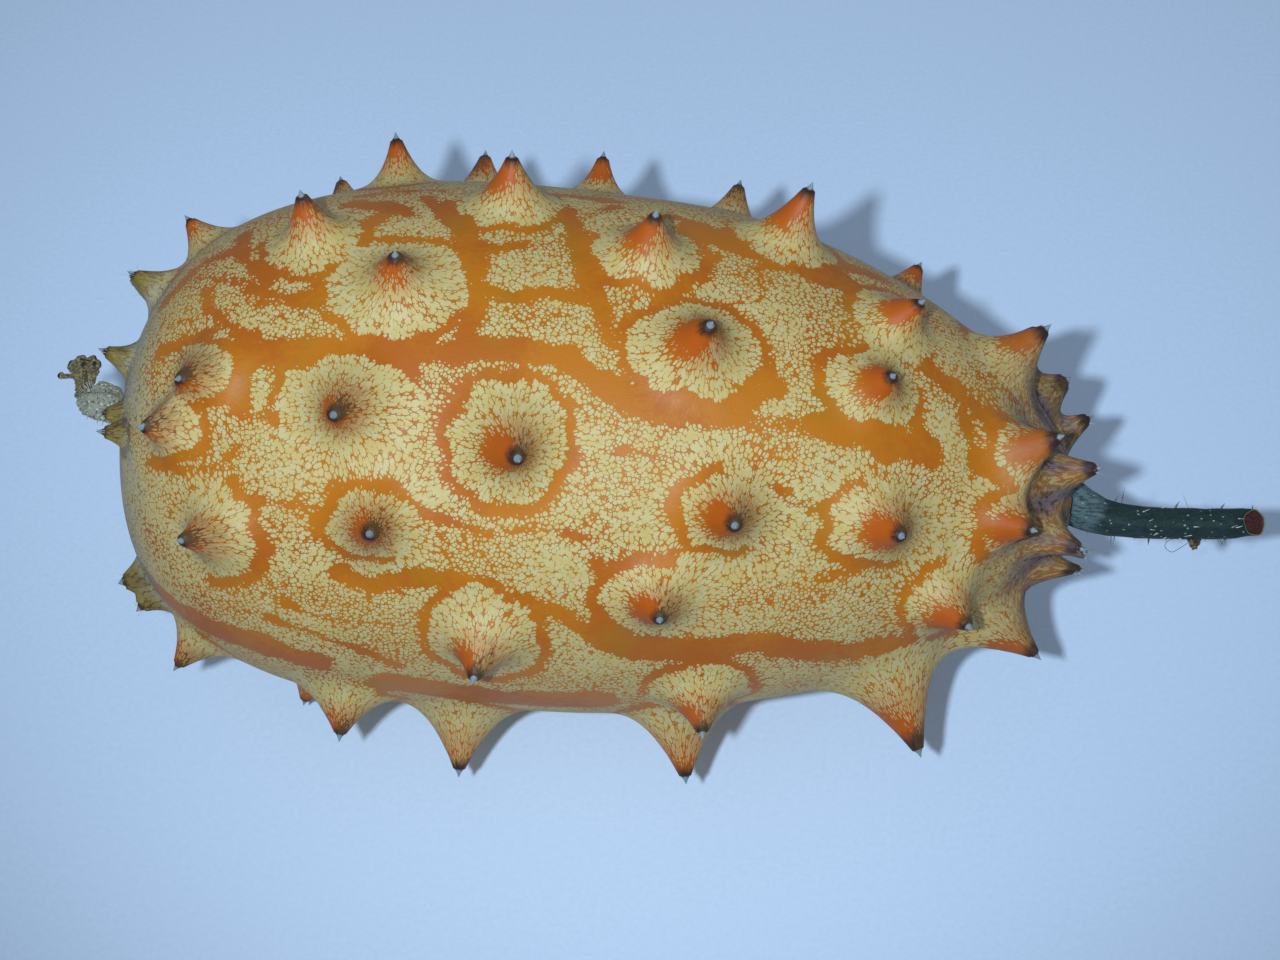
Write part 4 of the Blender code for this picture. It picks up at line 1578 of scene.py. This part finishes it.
@dataclass
class Stalk:
    """The cut stalk: its ribbed body, the scab on it, and its bristles and hairs."""

    shift: np.ndarray
    path: tuple[tuple[float, ...], ...] = (
        (57.85, -1.1, -0.5, 3.15),
        (58.35, -1.25, -0.55, 2.95),
        (59.6, -1.95, -0.8, 2.6),
        (61.5, -2.7, -1.15, 2.3),
        (63.5, -3.0, -1.4, 2.12),
        (66.5, -3.15, -1.6, 2.0),
        (70.0, -3.05, -1.75, 1.92),
        (74.0, -2.85, -1.85, 1.9),
        (78.0, -2.6, -1.8, 1.85),
        (81.0, -2.35, -1.75, 1.68),
    )
    steps: int = 130
    sides: int = 72
    ribs: int = 5
    rib_share: float = 0.04
    collar_ribs: int = 17
    collar_rib_share: float = 0.045
    bump_share: float = 0.025
    cut_tilt: tuple[float, float] = (-53.0, -50.0)
    # rings of the cut end: share of the rim's size, depth, and how much the ring is cut wood
    lips: tuple[tuple[float, float, float], ...] = (
        (0.96, -0.03, 0.5), (0.92, 0.03, 0.55), (0.89, 0.16, 0.8),
        (0.65, 0.22, 1.0), (0.36, 0.18, 1.0), (0.04, 0.15, 1.0),
    )
    pit: tuple[float, float, float] = (58.7, -0.4, 1.9)
    pit_radius: float = 0.45
    collar_length: float = 6.5
    scab_place: tuple[float, float, float] = (73.7, -4.2, -2.75)
    scab_size: tuple[float, float, float] = (1.5, 0.95, 1.4)
    root_share: float = 0.96
    lying_hairs: int = 46
    lying_reach: tuple[float, float] = (60.0, 78.6)
    seed: int = 5
    # of each bristle: where along the stalk, how far round (0 up in the view, 180 down),
    # length and thickness
    bristles: tuple[tuple[float, float, float, float], ...] = (
        (64.3, 6, 2.0, 0.07), (63.7, 0, 0.9, 0.09), (71.0, 4, 0.95, 0.15), (72.8, 2, 2.1, 0.04),
        (76.7, 0, 0.85, 0.13), (80.6, 2, 0.55, 0.10), (68.0, 178, 0.95, 0.14), (63.2, 172, 1.2, 0.06),
        (63.5, 180, 1.4, 0.05), (63.8, 176, 1.1, 0.06), (76.5, 178, 0.9, 0.05), (76.9, 184, 1.1, 0.05),
        (77.2, 176, 1.0, 0.06), (77.5, 182, 1.2, 0.05), (77.7, 177, 0.9, 0.05), (69.9, 180, 0.5, 0.06),
        (58.9, 20, 1.0, 0.05), (59.2, 30, 0.9, 0.05), (58.6, 35, 1.1, 0.04), (59.4, 12, 0.8, 0.05),
        (59.8, 170, 0.9, 0.05), (60.4, 176, 0.8, 0.05), (75.0, 178, 0.4, 0.06), (66.4, 182, 0.5, 0.05),
    )
    loop: tuple[tuple[float, float], ...] = (
        (0.2, 0.0), (-1.0, 0.0), (-2.1, 0.0), (-3.2, 0.35), (-3.6, 1.1), (-2.8, 1.75), (-1.8, 1.25),
        (-0.9, 0.6), (0.1, 0.25),
    )
    loop_drop: float = 0.3
    loop_radius: float = 0.035
    loop_steps: int = 60
    loop_sides: int = 6
    dark_hair: HairFinish = HairFinish("stalk_bristles", (0.16, 0.17, 0.12), (0.03, 0.035, 0.03), 0.48)
    pale_hair: HairFinish = HairFinish("stalk_pale_hairs", (0.55, 0.58, 0.46), (0.25, 0.26, 0.20))
    loop_hair: HairFinish = HairFinish("looped_hair", (0.06, 0.035, 0.035), (0.03, 0.02, 0.02))
    view_up: Vector = field(default_factory=lambda: Vector((0.0, 0.83, 0.56)))
    towards: Vector = field(default_factory=lambda: Vector((0.03, -0.56, 0.83)))

    def body(self) -> bpy.types.Object:
        """The ribbed stalk with its furrowed collar and its hollowed cut face.

        Returns:
            The stalk, undressed.
        """
        rows = smooth_line(self.path, self.steps)
        tilt = [math.radians(angle) for angle in self.cut_tilt]
        end_turn = Matrix.Rotation(tilt[1], 3, "Z") @ Matrix.Rotation(tilt[0], 3, "Y")
        tube = Tube(rows, self.sides, Vector((1.0, 0.0, 0.0)), end_turn=end_turn)
        share = np.linspace(0.0, 1.0, self.steps)[:, None]
        angle = round_angles(self.sides)[None]
        collar = np.clip(1.0 - (rows[:, :1] - rows[0, 0]) / self.collar_length, 0.0, 1.0)
        scale = 1.0 + self.rib_share * np.cos(self.ribs * angle + 1.5 * share)
        furrows = np.cos(self.collar_ribs * angle + 3.0 * np.sin(2.0 * angle))
        rings = tube.rings(scale + self.collar_rib_share * collar * furrows)
        bumps = cloud(rings.reshape(-1, 3), (1.6, 0.7, 0.7), 2.2).reshape(rings.shape[:2])
        middle = rows[:, None, :3]
        rings = middle + (rings - middle) * (1.0 + self.bump_share * bumps)[:, :, None]
        end, last = rows[-1, :3], rings[-1]
        inward = -np.array(end_turn @ Vector((1.0, 0.0, 0.0)))
        face = [end + (last - end) * size + inward * depth for size, depth, _ in self.lips]
        rings = np.concatenate([rings, np.array(face)])
        flat = np.ones((1, self.sides))
        wood = np.array([[level] for _, _, level in self.lips])
        near_pit = np.linalg.norm(rings - np.array(self.pit), axis=2) / self.pit_radius
        marks = {
            "cut": np.concatenate([0.30 * (share > 0.995), wood]) * flat,
            "collar": np.concatenate([collar, 0.0 * wood]) * flat,
            "pit": np.clip(1.5 - near_pit, 0.0, 1.0),
        }
        return rolled("stalk_skin", rings + self.shift, marks)

    def scab(self) -> bpy.types.Object:
        """A dry, crumpled wedge on the lower side.

        Returns:
            The dressed scab.
        """
        bpy.ops.object.select_all(action="DESELECT")
        bpy.ops.mesh.primitive_ico_sphere_add(subdivisions=5, radius=1.0)
        scab = bpy.context.active_object
        scab.name = "scab"
        flat = corners(scab.data)
        lump = 1.0 + 0.22 * cloud(flat, (0.45,) * 3, 1.0) + 0.12 * cloud(flat, (0.17,) * 3, 4.0)
        across = 0.55 + 0.45 * np.clip(flat[:, 2] + 0.4, 0.0, 1.0)
        taper = np.stack([across, across, np.ones(len(flat))], -1)
        flat = flat * lump[:, None] * np.array(self.scab_size) * taper
        axes = np.array([Vector((1.0, 0.0, 0.0)), self.towards, self.view_up])
        move_corners(scab.data, flat @ axes + np.array(self.scab_place) + self.shift)
        outward_normals(scab)
        scab.data.shade_smooth()
        scab.data.materials.append(ScabFinish().material())
        return scab

    def root(self, rows: np.ndarray, along: float, bearing: float) -> tuple[Vector, Vector]:
        """A place on the stalk's skin and the way out of it.

        Args:
            rows: places and radii along the stalk.
            along: where the place is along X.
            bearing: how far round it is, 0 up in the view.

        Returns:
            The place, sunk a little into the skin, and the direction outwards.
        """
        side = self.view_up.cross(Vector((1.0, 0.0, 0.0)))
        row = rows[int(np.argmin(np.abs(rows[:, 0] - along)))]
        angle = math.radians(bearing)
        out = math.cos(angle) * self.view_up - math.sin(angle) * side
        return Vector(row[:3]) + out * float(row[3]) * self.root_share, out

    def hairs(self) -> list[bpy.types.Object]:
        """The standing bristles and the pale lying hairs.

        Returns:
            A coat of bristles and a coat of lying hairs.
        """
        rows = smooth_line(self.path, self.steps)
        draw = random.Random(self.seed)
        standing, lying = [], []
        for along, bearing, length, radius in self.bristles:
            place, out = self.root(rows, along, bearing)
            ahead = (out + Vector((draw.uniform(-0.5, 0.5), 0.0, 0.0))).normalized()
            standing.append(Hair(place, ahead, length, radius, draw.uniform(-3.0, 3.0)))
        for _ in range(self.lying_hairs):
            place, out = self.root(rows, draw.uniform(*self.lying_reach), draw.uniform(0.0, 360.0))
            drift = Vector((draw.choice((-1.0, 1.0)), draw.uniform(-0.6, 0.6), draw.uniform(-0.6, 0.6)))
            ahead = (drift + out * 0.25).normalized()
            lying.append(Hair(place + 0.06 * out, ahead, draw.uniform(0.3, 1.0), draw.uniform(0.05, 0.09)))
        coats = [HairCoat("stalk_bristles", self.shift).build(standing, self.dark_hair)]
        return coats + [HairCoat("stalk_pale_hairs", self.shift).build(lying, self.pale_hair)]

    def looped_hair(self) -> bpy.types.Object:
        """The long hair that curls beside the scab.

        Returns:
            The dressed hair.
        """
        rows = []
        for aside, down in self.loop:
            place = np.array(self.scab_place) + np.array([aside, 0.0, 0.0])
            place = place - (self.loop_drop + down) * np.array(self.view_up)
            rows.append((*place, self.loop_radius))
        tube = Tube(smooth_line(tuple(rows), self.loop_steps), self.loop_sides)
        rings = tube.rings(np.ones((self.loop_steps, self.loop_sides)))
        thread = rolled("looped_hair", rings + self.shift)
        thread.data.materials.append(self.loop_hair.material())
        return thread

    def build(self) -> list[bpy.types.Object]:
        """Every piece of the stalk, dressed.

        Returns:
            The pieces.
        """
        body = self.body()
        body.data.materials.append(StalkFinish().material())
        scab, loop = self.scab(), self.looped_hair()
        return [body, scab] + self.hairs() + [loop]


# ---------------------------------------------------------------- the withered flower
@dataclass(frozen=True)
class FlowerFinish:
    """Withered, olive-brown and mottled, on a pale and speckled seat."""

    olive: Colour = (0.150, 0.112, 0.048)
    ochre: Colour = (0.330, 0.250, 0.125)
    dark: Colour = (0.026, 0.019, 0.014)
    rosy: Colour = (0.190, 0.105, 0.095)
    seat: Colour = (0.330, 0.310, 0.215)
    speck: Colour = (0.600, 0.600, 0.470)
    stain: Colour = (0.050, 0.042, 0.036)

    def material(self) -> bpy.types.Material:
        """Build the flower's material.

        Returns:
            The finished material.
        """
        shade = Shade("flower_skin", specular_ior_level=0.3)
        place = shade.position()
        fine, broad = shade.noise(place, 2.6, 4.0, 0.6), shade.noise(place, 0.7, 2.0)
        colour = shade.mix(shade.step(fine, 0.47, 0.62), self.olive, self.ochre)
        colour = shade.mix(shade.step(broad, 0.52, 0.66) * 0.6, colour, self.rosy)
        colour = shade.mix(shade.step(fine, 0.42, 0.32), colour, self.dark)
        specks = shade.cells(place, 1.7)
        seat = shade.mix(shade.step(fine, 0.46, 0.34) * 0.9, self.seat, self.stain)
        seat = shade.mix(shade.step(specks + (fine - 0.5) * 0.3, 0.30, 0.18), seat, self.speck)
        share = shade.step(shade.attribute("head") + (fine - 0.5) * 0.3, 0.36, 0.46)
        colour = shade.mix(share, seat, colour)
        singed = shade.step(shade.attribute("edge") + (fine - 0.5) * 0.7, 0.55, 0.85)
        colour = shade.mix(singed, colour, self.dark)
        return shade.finish(fine, 0.22, base_color=colour, roughness=fine * 0.3 + 0.6)


@dataclass
class WitheredFlower:
    """The dried flower: a hairy seat, a folded neck, a crumpled head and its dried petals."""

    shift: np.ndarray
    path: tuple[tuple[float, ...], ...] = (
        (-60.85, 3.4, 3.0, 1.3),
        (-61.8, 3.6, 3.0, 2.1),
        (-63.0, 3.9, 3.0, 2.3),
        (-64.5, 4.3, 3.0, 2.0),
        (-65.5, 4.8, 3.2, 1.35),
        (-65.9, 5.4, 3.5, 0.95),
        (-66.0, 6.0, 3.9, 0.95),
        (-66.1, 6.8, 4.4, 1.2),
        (-66.1, 7.6, 4.9, 1.4),
        (-66.0, 8.2, 5.3, 1.25),
        (-65.9, 8.7, 5.7, 0.75),
    )
    petals: tuple[tuple[tuple[float, ...], tuple[float, ...], float], ...] = (
        ((-66.1, 7.4, 4.9), (-64.2, 8.3, 5.4), 0.8),
        ((-66.0, 7.6, 4.6), (-67.5, 8.6, 5.0), 0.75),
        ((-66.1, 7.2, 5.2), (-65.7, 7.1, 6.6), 0.75),
        ((-66.0, 7.8, 4.6), (-65.3, 9.1, 4.7), 0.75),
        ((-66.1, 7.8, 5.0), (-66.6, 9.0, 5.7), 0.7),
        ((-65.8, 7.4, 5.0), (-64.6, 7.6, 6.2), 0.7),
        ((-66.2, 7.2, 4.8), (-67.5, 7.6, 6.0), 0.7),
        ((-66.0, 8.0, 5.0), (-64.8, 8.9, 5.7), 0.7),
    )
    prong: tuple[tuple[float, ...], ...] = (
        (-66.1, 7.05, 4.5, 0.55), (-67.0, 6.95, 4.4, 0.42), (-67.9, 6.85, 4.35, 0.30),
        (-68.6, 6.85, 4.35, 0.34), (-69.0, 6.9, 4.35, 0.46), (-69.35, 6.95, 4.4, 0.20),
    )
    steps: int = 150
    sides: int = 84
    end_steps: int = 40
    petal_sides: int = 36
    petal_bend: tuple[float, float, float] = (0.12, -0.1, 0.2)
    prong_sides: int = 30
    folds: int = 5
    fold_share: float = 0.2
    twist: float = 1.1
    crumple: float = 0.30
    seat_hairs: int = 130
    seat_reach: tuple[float, float] = (0.05, 0.42)
    pale_hair: HairFinish = HairFinish("flower_pale_hairs", (0.60, 0.62, 0.52), (0.30, 0.28, 0.22))
    dark_hair: HairFinish = HairFinish("flower_dark_hairs", (0.06, 0.05, 0.05), (0.03, 0.02, 0.02))
    seed: int = 3

    def crumpled(self, rings: np.ndarray, rows: np.ndarray, head: np.ndarray) -> np.ndarray:
        """Crumple rings of points, most where head is 1.

        Args:
            rings: places by ring and side.
            rows: the rings' middles.
            head: how crumpled each ring is, from 0 to 1.

        Returns:
            The crumpled places.
        """
        flat = rings.reshape(-1, 3)
        soft = cloud(flat, (1.0, 1.0, 1.0), 5.0).reshape(rings.shape[:2])
        sharp = 1.0 - 2.5 * np.abs(cloud(flat, (0.55,) * 3, 8.0)).reshape(rings.shape[:2])
        depth = self.crumple * (0.25 + 0.75 * head)
        middle = rows[:, None, :3]
        return middle + (rings - middle) * (1.0 + depth * (0.5 * soft + 0.45 * sharp))[:, :, None]

    def stem(self) -> bpy.types.Object:
        """The seat, the neck and the head in one.

        Returns:
            The closed piece.
        """
        rows = smooth_line(self.path, self.steps)
        share = np.linspace(0.0, 1.0, self.steps)[:, None]
        angle = round_angles(self.sides)[None]
        fold = np.sin(self.folds * angle + self.twist * 2.0 * math.pi * share)
        crease = np.sin(3.0 * angle - 9.0 * share) * np.sin(17.0 * share)
        depth = self.fold_share * np.minimum(1.0, 0.35 + share)
        rings = Tube(rows, self.sides).rings(1.0 + depth * fold + 0.5 * depth * crease)
        rings = self.crumpled(rings, rows, ramp(share, 0.25, 0.60))
        flat = np.ones((1, self.sides))
        edge = ramp(share, 0.93, 1.0)
        return rolled("flower_stem", rings + self.shift, {"head": share * flat, "edge": edge * flat})

    def petal(self, start: tuple[float, ...], end: tuple[float, ...], width: float) -> bpy.types.Object:
        """One dried petal, a crumpled blade with a ragged dark edge.

        Args:
            start: where the petal grows from.
            end: where it ends.
            width: half its width, in millimetres.

        Returns:
            The closed piece.
        """
        start, end = np.array(start), np.array(end)
        middle, over = 0.5 * (start + end) + np.array(self.petal_bend), end + 0.12 * (end - start)
        line = ((*start, 0.5 * width), (*middle, width), (*end, 0.75 * width), (*over, 0.35 * width))
        rows = smooth_line(line, self.end_steps)
        whole = np.ones((self.end_steps, 1))
        flatness = 0.30 + 0.70 * np.abs(np.cos(round_angles(self.petal_sides)[None]))
        rings = self.crumpled(Tube(rows, self.petal_sides).rings(flatness * whole), rows, whole)
        edge = ramp(np.linspace(0.0, 1.0, self.end_steps)[:, None], 0.62, 1.0)
        edge = edge * np.ones((1, self.petal_sides))
        return rolled("petal", rings + self.shift, {"head": np.ones_like(edge), "edge": edge})

    def side_prong(self) -> bpy.types.Object:
        """The short knobbed prong beside the head.

        Returns:
            The closed piece.
        """
        rows = smooth_line(self.prong, self.end_steps)
        whole = np.ones((self.end_steps, self.prong_sides))
        rings = self.crumpled(Tube(rows, self.prong_sides).rings(whole), rows, whole[:, :1])
        edge = ramp(np.linspace(0.0, 1.0, self.end_steps)[:, None], 0.6, 0.9) * whole
        return rolled("prong", rings + self.shift, {"head": np.ones_like(edge), "edge": edge})

    def hairs(self) -> list[bpy.types.Object]:
        """Pale and dark hairs on the seat.

        Returns:
            A coat of pale hairs and a coat of dark ones.
        """
        rows = smooth_line(self.path, self.steps)
        draw = random.Random(self.seed)
        low, high = (int(share * self.steps) for share in self.seat_reach)
        pale, dark = [], []
        for index in range(self.seat_hairs):
            row = rows[draw.randint(low, high)]
            angle = draw.uniform(0.0, 2.0 * math.pi)
            out = Vector((-0.35, math.cos(angle), math.sin(angle))).normalized()
            root = Vector(row[:3]) + 0.9 * float(row[3]) * out
            length, radius, roll = draw.uniform(0.6, 1.25), draw.uniform(0.03, 0.05), draw.uniform(-3.0, 3.0)
            (dark if index % 4 == 0 else pale).append(Hair(root, out, length, radius, roll))
        coats = [HairCoat("flower_pale_hairs", self.shift).build(pale, self.pale_hair)]
        return coats + [HairCoat("flower_dark_hairs", self.shift).build(dark, self.dark_hair)]

    def build(self) -> list[bpy.types.Object]:
        """Every piece of the flower, dressed.

        Returns:
            The pieces.
        """
        parts = [self.stem(), self.side_prong()] + [self.petal(*row) for row in self.petals]
        flower = joined(parts, "flower_skin")
        flower.data.materials.clear()
        flower.data.materials.append(FlowerFinish().material())
        return [flower] + self.hairs()


@dataclass
class TipHairs:
    """Short pale hairs round the points of the horns next to the stalk and the flower."""

    rind: Rind
    stations: tuple[float, float] = (6.0, 109.0)
    each: int = 5
    ring_radius: float = 0.35
    sunk: float = 0.15
    lengths: tuple[float, float] = (0.7, 1.5)
    radii: tuple[float, float] = (0.03, 0.06)
    finish: HairFinish = HairFinish("tip_hairs", (0.50, 0.52, 0.42), (0.12, 0.10, 0.07), 0.52)
    seed: int = 9

    def build(self) -> list[bpy.types.Object]:
        """Every hair, as one coat.

        Returns:
            The coat, alone in a list.
        """
        draw = random.Random(self.seed)
        hairs = []
        for horn in self.rind.horns:
            if horn.foot or self.stations[0] < horn.station < self.stations[1]:
                continue
            axes = self.rind.body.axes(horn.station, horn.turn)
            centre, normal, to_stalk, to_front = (Vector(part) for part in axes)
            lean = horn.to_stalk * to_stalk + horn.to_front * to_front
            share = (horn.height - self.rind.bristle_length) / horn.height
            rise = horn.height - (1.0 + self.sunk) * self.rind.bristle_length
            tip = centre + normal * rise + lean * share ** self.rind.lean_power
            for _ in range(self.each):
                angle = draw.uniform(0.0, 2.0 * math.pi)
                out = math.cos(angle) * to_stalk + math.sin(angle) * to_front
                ahead = (out * draw.uniform(0.2, 0.9) + normal).normalized()
                length, radius = draw.uniform(*self.lengths), draw.uniform(*self.radii)
                root = tip + self.ring_radius * out
                hairs.append(Hair(root, ahead, length, radius, draw.uniform(-3.0, 3.0)))
        return [HairCoat("tip_hairs", self.rind.shift).build(hairs, self.finish)]


# ---------------------------------------------------------------- the studio
@dataclass(frozen=True)
class PaperFinish:
    """Pale, slightly blue paper."""

    colour: Colour = (0.70, 0.80, 0.92)
    roughness: float = 0.9

    def material(self) -> bpy.types.Material:
        """Build the paper's material.

        Returns:
            The finished material.
        """
        shade = Shade("paper", specular_ior_level=0.2)
        place = shade.position()
        fibre = shade.noise(place, 1.4, 4.0, 0.6)
        broad = shade.noise(place, 0.006, 1.0)
        dim = tuple(0.93 * part for part in self.colour)
        colour = shade.mix(shade.step(fibre * 0.6 + broad * 0.4, 0.3, 0.7), dim, self.colour)
        return shade.finish(fibre, 0.03, base_color=colour, roughness=fibre * 0.1 + self.roughness)


@dataclass
class Studio:
    """A pale floor, a soft key light beside the camera, soft fill and the camera."""

    middle: np.ndarray
    floor_size: float = 2600.0
    elevation: float = 56.0
    azimuth: float = 3.4
    distance: float = 270.0
    aside: float = 4.625
    above: float = -1.625
    lens: float = 60.75
    key_place: tuple[float, float, float] = (-18.0, -162.0, 237.0)
    key_aim: tuple[float, float, float] = (10.0, 80.0, -37.0)
    key_radius: float = 5.0
    key_power: float = 3.5
    key_cone: float = 64.0
    key_colour: Colour = (0.64, 0.80, 1.0)
    fill_strength: float = 0.41
    fill_colour: Colour = (0.62, 0.78, 1.0)

    def build(self) -> None:
        """Set everything up round the fruit."""
        self.floor()
        self.camera()
        self.key()
        self.fill()

    def floor(self) -> None:
        """Lay the paper that the fruit rests on."""
        bpy.ops.object.select_all(action="DESELECT")
        bpy.ops.mesh.primitive_plane_add(size=self.floor_size * MM, location=(0.0, 0.0, 0.0))
        paper = bpy.context.active_object
        paper.name = "paper"
        paper.data.materials.append(PaperFinish().material())

    def camera(self) -> None:
        """Look down on the fruit from the front."""
        turn, lift = math.radians(self.azimuth), math.radians(self.elevation)
        back = Vector((math.sin(turn) * math.cos(lift), -math.cos(turn) * math.cos(lift), math.sin(lift)))
        right = Vector((math.cos(turn), math.sin(turn), 0.0))
        place = Vector(self.middle) + self.distance * back + self.aside * right
        place += self.above * back.cross(right)
        data = bpy.data.cameras.new("camera")
        data.lens = self.lens
        data.clip_start = 0.01
        camera = bpy.data.objects.new("camera", data)
        bpy.context.collection.objects.link(camera)
        camera.matrix_world = Matrix.LocRotScale(place * MM, back.to_track_quat("Z", "Y"), None)
        bpy.context.scene.camera = camera

    def key(self) -> None:
        """Hang the key light."""
        place = (Vector(self.middle) + Vector(self.key_place)) * MM
        bpy.ops.object.light_add(type="SPOT", location=place)
        lamp = bpy.context.active_object
        lamp.data.shadow_soft_size = self.key_radius * MM
        lamp.data.spot_size = math.radians(self.key_cone)
        lamp.data.spot_blend = 1.0
        lamp.data.energy = self.key_power
        lamp.data.color = self.key_colour
        aim = place - (Vector(self.middle) + Vector(self.key_aim)) * MM
        lamp.rotation_euler = aim.to_track_quat("Z", "Y").to_euler()

    def fill(self) -> None:
        """Light everything softly from all sides."""
        world = bpy.data.worlds.new("fill")
        world.use_nodes = True
        sky = world.node_tree.nodes["Background"]
        sky.inputs["Color"].default_value = (*self.fill_colour, 1.0)
        sky.inputs["Strength"].default_value = self.fill_strength
        bpy.context.scene.world = world
        bpy.context.scene.view_settings.view_transform = "Standard"


def settle(pieces: list[bpy.types.Object], node: str) -> None:
    """Let finished pieces stand in for a node of the frame.

    Args:
        pieces: the pieces.
        node: the node's name, which is its slot's name too.
    """
    for piece in pieces:
        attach(piece, "root")
        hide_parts(node)
        LOG.info("%s: %s, %d faces", node, piece.name, len(piece.data.polygons))


def main() -> None:
    """Build and dress every piece of the fruit, and set it in the studio."""
    logging.basicConfig(level=logging.INFO, format="%(message)s")
    bpy.ops.object.select_all(action="DESELECT")
    body = Body()
    horns = HornPlan(body).every()
    rind = Rind(body, horns)
    skin = rind.build(Marbling(body, horns))
    skin.data.materials.append(RindFinish().material())
    settle([skin] + TipHairs(rind).build(), "rind")
    settle(Stalk(rind.shift).build(), "stalk")
    settle(WitheredFlower(rind.shift).build(), "withered_flower")
    Studio(rind.shift).build()
    LOG.info("studio: floor, lights and camera")


if __name__ == "__main__":
    main()
